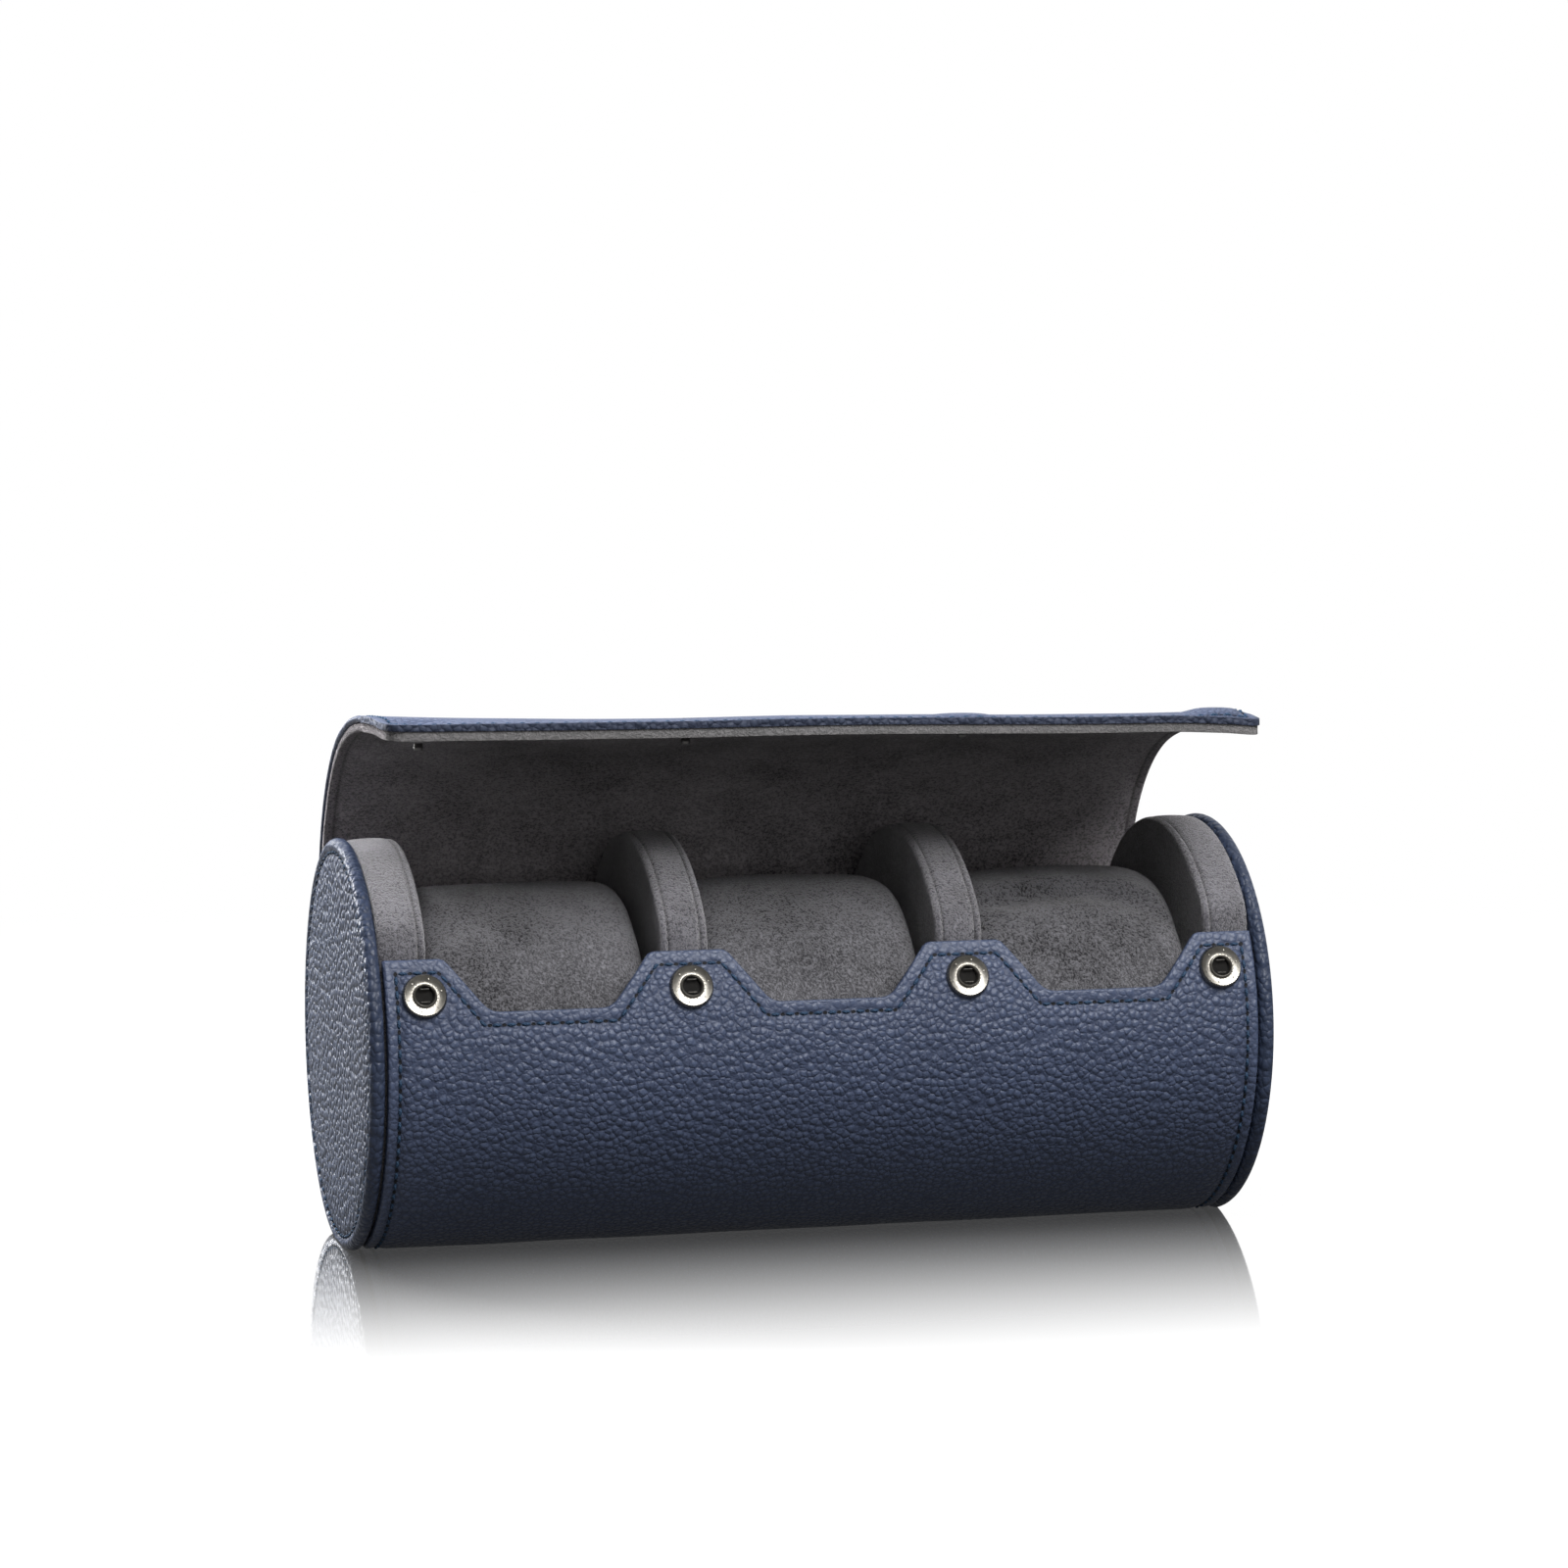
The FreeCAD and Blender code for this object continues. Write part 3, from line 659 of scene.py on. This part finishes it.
def pad_reach(angle):
    """How far a pad reaches from the axis: within the wall, or up to the closed lid where it is bare."""
    c = np.cos(angle) * PAD_SHIFT + np.sin(angle) * PAD_SHIFT
    bare = c + np.sqrt(PAD_RADIUS ** 2 - 2 * PAD_SHIFT ** 2 + c ** 2)
    within = CAVITY - PAD_GAP
    front = math.asin((TAB_HEIGHT + 0.35 * MM) / ROLL_RADIUS)
    back = math.pi - math.asin(13.3 / 46.0)
    turn = np.mod(angle + math.pi / 2, 2 * math.pi) - math.pi / 2
    rise = np.clip((turn - front + 0.02) / 0.2, 0, 1)
    up = rise * (2 - rise) * np.clip((back - turn) / 0.012, 0, 1)
    return within + (bare - within) * up


def build_pad(name, x_start, x_end, seams):
    """A suede pad: flat padded faces, a rounded band, and a sewn line near the band's edges."""
    spans = ((-math.pi / 2, 0.5, 70), (0.5, 0.62, 14), (0.62, 2.8, 110), (2.8, 2.9, 10), (2.9, 1.5 * math.pi, 66))
    turns = np.concatenate([np.linspace(*span, endpoint=False) for span in spans])
    width, rounding = x_end - x_start, PAD_ROUNDING
    face = (0.0, 0.12, 0.3, 0.5, 0.68, 0.82, 0.92)
    section = [(share, 0.0, 0.25 * MM * (1 - share ** 2)) for share in face]
    section += [(1.0, -rounding * (1 - math.sin(t)), rounding * (1 - math.cos(t)))
                for t in np.radians(np.linspace(0, 90, 6))]
    reach = pad_reach(turns)
    flat = AXIS_HEIGHT - WALL - PAD_GAP

    def place(share, drop, x):
        r = share * (reach - rounding) if share < 1 else reach + drop
        return np.stack([0 * r + x, -r * np.cos(turns), np.maximum(r * np.sin(turns), -flat)], axis=-1)

    points = [place(share, drop, x_start + inset) for share, drop, inset in section]
    for d in rounding + np.linspace(0, width - 2 * rounding, 17)[1:-1]:
        dip = 0.55 * MM * ridge(min(abs(d - s) for s in seams), 0.35 * MM)
        swell = 0.35 * MM * math.sin(math.pi * d / width)
        points.append(place(1.0, swell - dip - 0.1 * MM, x_start + d))
    points += [place(share, drop, x_end - inset) for share, drop, inset in reversed(section)]
    grid = np.stack(points, axis=1)
    uneven = 0.12 * MM * waves(grid[..., 1] + 3 * grid[..., 0], grid[..., 2], len(name) + 5, 24 * MM)
    grid[:, :len(face), 0] += uneven[:, :len(face)]
    grid[:, -len(face):, 0] -= uneven[:, -len(face):]
    grid[..., 2] += AXIS_HEIGHT
    obj = revolve_grid(name, grid, 60.0)
    x, y, z = (points_of(obj.data) - (0, 0, AXIS_HEIGHT)).T
    on_band = np.hypot(y, z) > pad_reach(np.arctan2(z, -y)) - 1.0 * MM
    near = np.min([np.abs(x - x_start - s) for s in seams], axis=0)
    # Painted shade in the band's sewn grooves
    point_values(obj.data, "seam", np.where(on_band, 0.6 * ridge(near, 0.32 * MM), 0))
    dress(obj, SUEDE, "roll_body", (f"{name}_cover", f"{name}_core"))


# Cushions

def stuffed(shape):
    """How far a sewn cover swells when it is stuffed, by cloth simulation: one move for each place of its grid."""
    rows, cols = shape.shape[:2]
    count = rows * cols
    verts = np.concatenate([shape.reshape(-1, 3), shape[:, 0].mean(axis=0)[None], shape[:, -1].mean(axis=0)[None]])
    faces = grid_faces(rows, cols, wrap_rows=True)
    for i in range(rows):
        k = (i + 1) % rows
        faces += [(i * cols, k * cols, count), (k * cols + cols - 1, i * cols + cols - 1, count + 1)]
    obj = mesh_object("stuffing", verts, faces)
    held = obj.vertex_groups.new(name="sewn")
    held.add([i * cols + j for i in range(rows) for j in (0, cols - 1)] + [count, count + 1], 1.0, "REPLACE")
    cloth = obj.modifiers.new("cloth", "CLOTH")
    cloth.settings.quality = 8
    cloth.settings.vertex_group_mass = "sewn"
    cloth.settings.use_pressure = True
    cloth.settings.uniform_pressure_force = 4.0
    cloth.settings.effector_weights.gravity = 0.0
    cloth.collision_settings.use_collision = False
    cloth.point_cache.frame_start, cloth.point_cache.frame_end = 1, STUFFING_STEPS
    for step in range(1, STUFFING_STEPS + 1):
        bpy.context.scene.frame_set(step)
    swollen = obj.evaluated_get(bpy.context.evaluated_depsgraph_get()).data
    after = points_of(swollen)[:count].reshape(rows, cols, 3)
    bpy.context.scene.frame_set(1)
    bpy.data.objects.remove(obj)
    move = after - shape
    size = np.linalg.norm(move, axis=-1, keepdims=True)
    return move * np.minimum(1, SWELL / np.maximum(size, 1e-9))


def build_cushion(name, centre, seed, fold):
    """A stuffed suede cushion: crowned between its sewn ends, drawn in at both, with a soft fold across its front."""
    half, depth, height, middle = 25.5 * MM, 40.5 * MM, 39.25 * MM, -3.25 * MM
    turns = full_turn(120)
    ends = [(0.0, 0.0), (0.02, 0.2), (0.03, 0.42), (0.05, 0.62), (0.08, 0.77), (0.15, 0.85), (0.35, 0.892),
            (0.75, 0.92), (1.4, 0.942), (2.4, 0.960), (3.8, 0.973), (5.6, 0.982), (8.0, 0.988), (11.0, 0.992),
            (14.5, 0.9955), (18.5, 0.998), (22.5, 0.9995)]
    section = [(-half + d * MM, g) for d, g in ends] + [(half - d * MM, g) for d, g in reversed(ends)]
    places, shares = np.array(section).T
    front, rise = np.cos(turns)[:, None], np.sin(turns)[:, None]
    level = AXIS_HEIGHT + middle
    smaller = 0.9 * MM

    def cover(xs, girth):
        grid = np.zeros((len(turns), len(xs), 3))
        grid[..., 0] = centre + xs
        grid[..., 1] = -front * girth * (depth - smaller)
        grid[..., 2] = level + rise * girth * (height - smaller)
        dents = waves(turns[:, None] * depth, grid[..., 0], seed, 26 * MM)
        out = np.stack([0 * dents, -front + 0 * dents, rise + 0 * dents], axis=-1)
        return grid + out * (0.55 * MM * dents * np.clip(girth - 0.5, 0, 1))[..., None]

    grid = cover(places, shares)
    coarse = np.linspace(-half + 0.5 * MM, half - 0.5 * MM, 21)
    move = stuffed(cover(coarse, np.interp(coarse, places, shares)))
    for axis in (1, 2):
        grid[..., axis] += np.array([np.interp(places, coarse, row) for row in move[..., axis]])
    line = 66 - 5 * np.clip(-places / half, 0, 1) - 17 * np.clip(places / half, 0, 1) ** 2
    across = (np.degrees(turns)[:, None] - line[None, :]) * math.pi / 180 * depth
    dip = fold * (0.45 * ridge(across - 6 * MM, 4 * MM) - ridge(across, 3.6 * MM))
    dip *= np.clip((half - np.abs(places)) / (9 * MM), 0, 1)
    grid[..., 1] -= front * dip
    grid[..., 2] += rise * dip
    grid[..., 1] *= (depth + 0.3 * MM) / np.abs(grid[..., 1]).max()
    grid[..., 2] = level + (grid[..., 2] - level) * (height + 0.4 * MM) / np.abs(grid[..., 2] - level).max()
    grid[..., 2] = np.maximum(grid[..., 2], AXIS_HEIGHT - 42.5 * MM)
    obj = revolve_grid(f"cushion_{name}", grid, 80.0)
    dress(obj, CUSHION_SUEDE, f"cushion_{name}",
          (f"cushion_cover_{name}", f"cushion_core_{name}"))


# The lid

def polar(radius, degrees, centre=(0, 0)):
    """The (y, z) place at an angle measured from the front, over the top."""
    t = math.radians(degrees)
    return np.array((centre[0] - radius * math.cos(t), centre[1] + radius * math.sin(t)))


def opened(place, pivot, degrees):
    """A (y, z) place after the lid turns open about a pivot."""
    t = math.radians(degrees)
    y, z = place[0] - pivot[0], place[1] - pivot[1]
    return np.array((pivot[0] + y * math.cos(t) + z * math.sin(t), pivot[1] - y * math.sin(t) + z * math.cos(t)))


def joint_place(name):
    """A joint's (y, z) place at rest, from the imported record."""
    spot = next(j for j in frame["joints"] if j["name"] == name)["pos_m"]
    return np.array((spot[1], spot[2] - AXIS_HEIGHT))


def lid_profile():
    """The lid's inner face at rest in even steps: length, place and outward normal, and where its folds are."""
    centre = opened(LID_CENTRE, HINGE, LID_OPEN)
    fold, curl = joint_place("flap_fold"), joint_place("edge_fold")
    first = [polar(CAVITY, 180 - math.degrees(math.asin(z / CAVITY)))
             for z in np.linspace(STRIP_START, 3.3 * MM, 12)]
    arc = [polar(LID_RADIUS, a + LID_OPEN, centre)
           for a in np.linspace(LID_START_ANGLE, LID_TANGENT_ANGLE, 90)]
    turn = math.radians(270 - LID_OPEN - 2 * FLAP_OPEN) - SNAP_ANGLE
    tip = curl + EDGE_LENGTH * np.array((math.cos(turn), math.sin(turn)))
    line = np.array([*first, *arc, fold, curl, tip])
    steps = lengths_along(line)
    s = np.linspace(0, steps[-1], 480)
    smooth = np.stack([np.interp(s, steps, line[:, i]) for i in (0, 1)], axis=1)
    for _ in range(260):
        smooth[1:-1] = (smooth[:-2] + 2 * smooth[1:-1] + smooth[2:]) / 4
    tangent = np.gradient(smooth, axis=0)
    tangent /= np.linalg.norm(tangent, axis=1)[:, None]
    normal = np.stack([tangent[:, 1], -tangent[:, 0]], axis=1)
    marks = {"tangent": steps[len(first) + len(arc) - 1], "fold": steps[-3], "curl": steps[-2], "tip": steps[-1]}
    return s, smooth, normal, marks


LID_S, LID_LINE, LID_NORMAL, LID_MARKS = lid_profile()
STUD_S = LID_MARKS["curl"] + STUD_REACH


def along_lid(table, s):
    """The y and z of a table of the lid's profile, at lengths along it."""
    return [np.interp(s, LID_S, table[:, i]) for i in (0, 1)]


def lid_point(x, s, d):
    """A point of the lid: along the roll, along the lid's profile, and out from its inner face."""
    (y, z), (out_y, out_z) = along_lid(LID_LINE, s), along_lid(LID_NORMAL, s)
    return np.stack(np.broadcast_arrays(x, y + d * out_y, AXIS_HEIGHT + z + d * out_z), axis=-1)


def lid_normal(s):
    """The lid's outward direction."""
    return np.stack([0 * s, *along_lid(LID_NORMAL, s)], axis=-1)


FLAP_MIDDLE = (LID_MARKS["fold"] + LID_MARKS["curl"]) / 2
STRIPS = (
    ("back", 0.0, LID_MARKS["tangent"], ("roll_body", "lid_back"), None),
    ("flap", LID_MARKS["tangent"], FLAP_MIDDLE, ("lid_back", "lid_flap"),
     (LID_MARKS["fold"] - 9 * MM, FLAP_MIDDLE)),
    ("edge", FLAP_MIDDLE, LID_MARKS["tip"], ("lid_flap", "lid_edge"), (FLAP_MIDDLE, LID_MARKS["curl"] + 9.4 * MM)),
)


def tip_at(x, inset):
    """How far the lid reaches at x, with rounded front corners and an inset."""
    half, corner = HALF_LENGTH - inset, LID_CORNER - inset * 0.5
    over = np.clip(np.abs(x) - (half - corner), 0, corner)
    return LID_MARKS["tip"] - inset - (corner - np.sqrt(np.maximum(corner ** 2 - over ** 2, 0)))


def bend_strip(obj, zone):
    """Bake a strip's transform into its mesh."""
    if zone is None:
        start, end = (0, 0.046, AXIS_HEIGHT + 2 * MM), (0, 0.046, AXIS_HEIGHT + 14 * MM)
    else:
        start, end = (lid_point(0.0, np.array(v), 0.0) for v in zone)
    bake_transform(obj)


def lid_lift(x, s):
    """How far the limp lid leaves its panels: its left end raised, its right end drooping, held at the studs."""
    fold, curl, tip = LID_MARKS["fold"], LID_MARKS["curl"], LID_MARKS["tip"]
    raised = np.interp(s, [20 * MM, 45 * MM, 70 * MM, fold - 8 * MM, fold + 4 * MM, curl, tip],
                       [0, 0.9 * MM, 2.0 * MM, 3.5 * MM, 3.0 * MM, 1.8 * MM, 0.8 * MM])
    lowered = 1.3 * MM * np.clip((s - fold + 8 * MM) / (curl - fold), 0, 1)
    corner = 1.5 * MM * np.clip((s - curl) / EDGE_LENGTH, 0, 1) ** 2 * np.clip((x - 75 * MM) / (28 * MM), 0, 1) ** 2
    left = np.clip((-x - 30 * MM) / (73 * MM), 0, 1) ** 1.5
    right = np.clip((x + 10 * MM) / (90 * MM), 0, 1)
    lift = raised * left - lowered * right * right * (3 - 2 * right) - corner
    near = np.min([np.hypot(x - spot, s - STUD_S) for spot in SNAP_X], axis=0)
    return lift * (1 - np.exp(-(near / (7 * MM)) ** 4))


def lid_seam(x, s, half, seam, back, width, last):
    """How near a place on the lid is to its sewn line, from 0 to 1."""
    side = ridge(half - seam - np.abs(x), width) * (s < LID_MARKS["tip"] - back - seam + 0.3 * MM)
    if not last:
        return side
    return np.maximum(side, ridge(tip_at(x, back) - seam - s, width) * (np.abs(x) < half - seam))


# What each layer of the lid has: inner and outer height, setback and seam from the edge, and rounding
LID_LAYERS = {
    "leather": (LID_LINING, WALL, 0.0, STITCH_INSET, 0.75 * MM),
    "lining": (-0.15 * MM, LID_LINING, LINING_SETBACK, 2.2 * MM, 0.65 * MM),
}


def lid_sheet(name, layer, begin, end):
    """One layer of a strip of the lid, with its sewn groove and the marks that its material reads."""
    low, high, back, seam, bevel = LID_LAYERS[layer]
    half, last, leather = HALF_LENGTH - back, name == "edge", layer == "leather"
    near = [side * (half - seam + d * MM) for side in (-1, 1) for d in (-1.6, -0.6, 0, 0.6, 1.6)]
    if last:
        near += [side * (half - d * MM) for side in (-1, 1) for d in (0.15, 0.4, 0.8, 1.3, 2.2, 3.0)]
    xs = clustered(-half, half, 1.6 * MM, near)
    stop = tip_at(xs, back) if last else np.full(len(xs), end)
    share = np.linspace(0, 1, max(8, int((end - begin) / (1.3 * MM))))
    if last:
        front = 1 - np.array([6.0, 4.4, 3.7, 3.1, 2.5, 1.7, 0.8, 0.0]) * MM / (end - begin)
        share = np.concatenate([share[share < front[0] - 0.02], front])
    s = begin + (stop - begin)[:, None] * share[None, :]
    x = xs[:, None] + 0 * s
    groove, mark = (lid_seam(x, s, half, seam, back, width, last) for width in (GROOVE_WIDTH, LID_SEAM_WIDTH))
    uneven = 0.12 * MM * waves(x, s, 21, 34 * MM)
    lift = lid_lift(x, s)
    rim, edge_shade = np.zeros(s.shape), np.zeros(s.shape)
    if leather:
        outer, inner = high - GROOVE * groove + uneven * 0.5, low
        if last:
            rim[:, -5:] = (0.2, 0.35, 0.5, 0.7, 0.8)
        # Painted shade along the sewn line, and a darker front edge
        marks = [np.maximum(mark, rim), rim]
    else:
        outer, inner = high, low + 0.45 * MM * groove + uneven * 0.4
        # Painted shade along the lining's sewn line
        marks = [rim, mark]
        if last:
            # Painted shade on the lining's front edge
            edge_shade[:, -3:] = (0.3, 0.6, 0.75)
    values = {"seam": 0.7 * np.ravel(marks)}
    if edge_shade.any():
        values["edge_shade"] = np.ravel([edge_shade, edge_shade])
    obj = slab(f"lid_{name}_{layer}_sheet", lid_point(x, s, outer + lift), lid_point(x, s, inner + lift),
               (False, last), bevel, values)
    if leather:
        margin = np.clip((np.abs(points_of(obj.data)[:, 0]) - half + seam) / (2 * MM) + 0.5, 0, 1)
        point_values(obj.data, "smoothness", MARGIN_FLATNESS * margin)
    return obj


def lid_row(x, s):
    """A sewn row on the lid: its path and its outward directions."""
    return lid_point(x, s, WALL - LID_STITCH_SINK + lid_lift(x, s)), lid_normal(s)


def build_lid():
    """The lid's leather and lining, in three strips along its folded profile."""
    for name, begin, end, bodies, zone in STRIPS:
        first, last = name == "back", name == "edge"
        leather = lid_sheet(name, "leather", begin, end)
        dress(leather, NAVY, None,
              (f"lid_{name}_leather", f"lid_{name}_board") + (("spine_leather",) if first else ()))
        bend_strip(leather, zone)
        obj = lid_sheet(name, "lining", begin, end)
        dress(obj, LINING_PAINTED_LIGHT, None,
              (f"lid_{name}_lining",) + (("spine_lining",) if first else ()))
        bend_strip(obj, zone)
        limit = LID_MARKS["tip"] - STITCH_INSET if last else end
        s, reach = np.linspace(begin, limit, 300), HALF_LENGTH - STITCH_INSET
        rows = [lid_row(0 * s + side * reach, s) for side in (-1, 1)]
        if last:
            rows.append(lid_row(np.linspace(-reach, reach, 300), np.full(300, limit)))
        bend_strip(dress(stitch_object(f"lid_{name}_stitching", rows), THREAD), zone)


# Snap sockets

def build_sockets():
    """Turned sockets with a milled edge, a dished face with dots and a raised ring, and a well painted with shade in
    each.
    """
    ring = [(2.08, 0.0), (5.1, 0.0), (5.1, 0.35), (5.06, 0.6), (4.95, 0.85), (4.8, 1.02), (4.72, 1.08),
            (4.64, 1.1), (4.5, 1.06), (4.2, 0.95), (3.8, 0.83), (3.4, 0.74), (3.0, 0.68), (2.84, 0.7),
            (2.78, 0.95), (2.7, 1.2), (2.6, 1.32), (2.5, 1.35), (2.4, 1.3), (2.3, 1.18), (2.18, 1.0), (2.1, 0.8)]
    well = [(0.0, 0.02), (2.06, 0.02), (2.06, 0.5), (1.94, 0.5), (1.9, 0.1), (0.0, 0.1)]
    count = 96
    out = np.array((0, -math.cos(SNAP_ANGLE), math.sin(SNAP_ANGLE)))
    up = np.array((0, math.sin(SNAP_ANGLE), math.cos(SNAP_ANGLE)))
    seat = out * (ROLL_RADIUS + 0.05 * MM) + (0, 0, AXIS_HEIGHT)

    def turned(profile, milled):
        local = []
        for k, t in enumerate(full_turn(count)):
            for j, (r, h) in enumerate(profile):
                r -= 0.2 if milled and k % 2 and 2 <= j <= 6 else 0
                local.append((r * math.cos(t), r * math.sin(t), h))
        return local, grid_faces(count, len(profile), wrap_rows=True, wrap_cols=milled)

    def dot(t, at_radius, size, top):
        local = [(at_radius * math.cos(t) + size * shrink * math.cos(u),
                  at_radius * math.sin(t) + size * shrink * math.sin(u), top + lift)
                 for lift, shrink in ((-0.1, 1.0), (0.08, 0.95), (0.16, 0.6)) for u in full_turn(8)]
        return local, capped_faces(3, 8)

    def on_each_tab(name, shapes):
        verts, faces = [], []
        for x in SNAP_X:
            for local, local_faces in shapes:
                faces += [tuple(len(verts) + i for i in f) for f in local_faces]
                verts += [seat + (x + a * MM, 0, 0) + (up * b + out * h) * MM for a, b, h in local]
        return mesh_object(name, verts, faces, 40.0)

    dots = [dot(2 * math.pi * (k + 0.25) / number, *place)
            for number, *place in ((24, 3.08, 0.12, 0.72), (6, 3.86, 0.24, 0.86)) for k in range(number)]
    sockets = on_each_tab("sockets", [turned(ring, True), *dots])
    dress(sockets, NICKEL, "roll_body", ("snap_sockets",))
    dress(on_each_tab("socket_wells", [turned(well, False)]), WELL_SHADE, "roll_body")


build_wrap()
build_wall_lining()
build_end(-1, "left")
build_end(1, "right")
build_pad("end_pad_left", -END_INNER + PAD_GAP, -HALF_LENGTH + PAD_WIDTH,
          (PAD_WIDTH + END_INNER - HALF_LENGTH - PAD_SEAM,))
build_pad("end_pad_right", HALF_LENGTH - PAD_WIDTH, END_INNER - PAD_GAP, (PAD_SEAM,))
for pad_name, pad_x in (("divider_left", -DIVIDER_X), ("divider_right", DIVIDER_X)):
    build_pad(pad_name, pad_x - DIVIDER_WIDTH / 2, pad_x + DIVIDER_WIDTH / 2, (PAD_SEAM, DIVIDER_WIDTH - PAD_SEAM))
for cushion_seed, (cushion_name, cushion_x, cushion_fold) in enumerate((
        ("left", -CELL_PITCH, 0.3 * MM), ("middle", 0.0, 0.2 * MM), ("right", CELL_PITCH, 2.0 * MM)), 31):
    build_cushion(cushion_name, cushion_x, cushion_seed, cushion_fold)
build_lid()
build_sockets()

# CAD nodes that stay
for node_name, node_material in (("socket_springs", SPRING_IN_SHADE), ("socket_backs", NICKEL), ("snap_studs", DARK_NICKEL),
                                 ("stud_backs", DARK_NICKEL)):
    dress(frame["nodes"][node_name], node_material)


# Floor, light and camera

def split_place(tree, kind):
    """The x, y and z of a texture coordinate."""
    return add_node(tree, "SeparateXYZ", {0: add_node(tree, "TexCoord").outputs[kind]}).outputs


def mix_shader(tree, factor, a, b):
    """A Mix Shader node over two shaders."""
    return add_node(tree, "MixShader", {0: factor, 1: a.outputs[0], 2: b.outputs[0]})


def build_floor():
    """A white floor that mirrors the object's foot and keeps its shadow."""
    size, drop = 6.0, 0.0002
    corners = [(-size, -size, -drop), (size, -size, -drop), (size, size, -drop), (-size, size, -drop)]
    floor = mesh_object("floor", corners, [(0, 1, 2, 3)])
    material, tree, shader = nodes_of("floor")
    tree.nodes.remove(shader)
    rays, place = add_node(tree, "LightPath").outputs, split_place(tree, "Object")
    past_end = math_node(tree, "SUBTRACT", math_node(tree, "ABSOLUTE", place["X"]), HALF_LENGTH)
    side = math_node(tree, "MAXIMUM", past_end, 0.0)
    squares = [math_node(tree, "POWER", value, 2.0) for value in (side, place["Y"])]
    away = math_node(tree, "SQRT", math_node(tree, "ADD", *squares))
    plain = add_node(tree, "BsdfDiffuse", {"Color": map_range(tree, rays["Is Camera Ray"], (0.08, 0.92))})
    glow = add_node(tree, "Emission", {"Color": (1, 1, 1, 1), "Strength": 1.0})
    mirror = add_node(tree, "BsdfGlossy", {"Color": (1, 1, 1, 1), "Roughness": 0.05})
    bright = map_range(tree, away, (0.86, 1.0), (0.15, 0.6), "SMOOTHSTEP")
    seen = math_node(tree, "MAXIMUM", math_node(tree, "MULTIPLY", rays["Is Camera Ray"], bright),
                     math_node(tree, "MULTIPLY", rays["Is Glossy Ray"], 0.12))
    fade = map_range(tree, away, (0.95, 0.0), (0.01, 0.18), "SMOOTHSTEP")
    foot = math_node(tree, "MULTIPLY", fade, rays["Is Camera Ray"])
    final = mix_shader(tree, foot, mix_shader(tree, seen, plain, glow), mirror)
    plug(tree, tree.nodes["Material Output"], {"Surface": final.outputs[0]})
    floor.data.materials.append(material)


def build_world():
    """White to the camera, a white backdrop behind the object in reflections, and a weak even light to the rest."""
    world = bpy.data.worlds.new("studio")
    bpy.context.scene.world = world
    world.use_nodes = True
    tree = world.node_tree
    rays = add_node(tree, "LightPath").outputs
    backdrop = map_range(tree, split_place(tree, "Generated")["Y"], (0.12, 1.0), (-0.2, 0.3), "SMOOTHSTEP")
    seen = math_node(tree, "MAXIMUM", rays["Is Camera Ray"], rays["Is Transmission Ray"])
    glossy = math_node(tree, "MULTIPLY", rays["Is Glossy Ray"], backdrop)
    level = math_node(tree, "MAXIMUM", math_node(tree, "MAXIMUM", seen, glossy), 0.048)
    plug(tree, tree.nodes["Background"], {"Strength": level, "Color": (1, 1, 1, 1)})


def area_light(name, place, target, size, power, mirrored=True):
    """A soft rectangular lamp, which may be left out of reflections."""
    data = bpy.data.lights.new(name, "AREA")
    data.shape = "RECTANGLE"
    data.size, data.size_y = size
    data.energy = power
    lamp = bpy.data.objects.new(name, data)
    lamp.visible_camera = False
    lamp.visible_glossy = mirrored
    lamp.location = place
    lamp.rotation_euler = (Vector(target) - Vector(place)).to_track_quat("-Z", "Y").to_euler()
    bpy.context.scene.collection.objects.link(lamp)


def build_camera():
    """The photograph's camera."""
    data = bpy.data.cameras.new("camera")
    data.sensor_width, data.lens = CAMERA_SENSOR, CAMERA_LENS
    camera = bpy.data.objects.new("camera", data)
    camera.location = CAMERA_PLACE
    camera.rotation_euler = (math.radians(90 + CAMERA_TILT), 0, math.radians(CAMERA_TURN))
    bpy.context.scene.collection.objects.link(camera)
    bpy.context.scene.camera = camera


build_floor()
build_world()
area_light("key", (0.27, -0.67, 0.98), (0, 0, 0.06), (0.8, 0.7), 27.0)
area_light("back_left", (-0.25, 0.3, 0.5), (-0.1, 0, 0.09), (0.25, 0.25), 11.0, False)
area_light("glint", (-0.55, 0.6, 0.3), (-0.1, 0, 0.05), (0.2, 0.2), 5.0)
area_light("fill", (-0.1, -1.1, 0.25), (0, 0, 0.08), (0.6, 0.3), 2.0, False)
build_camera()
bpy.context.scene.view_settings.view_transform = "Standard"
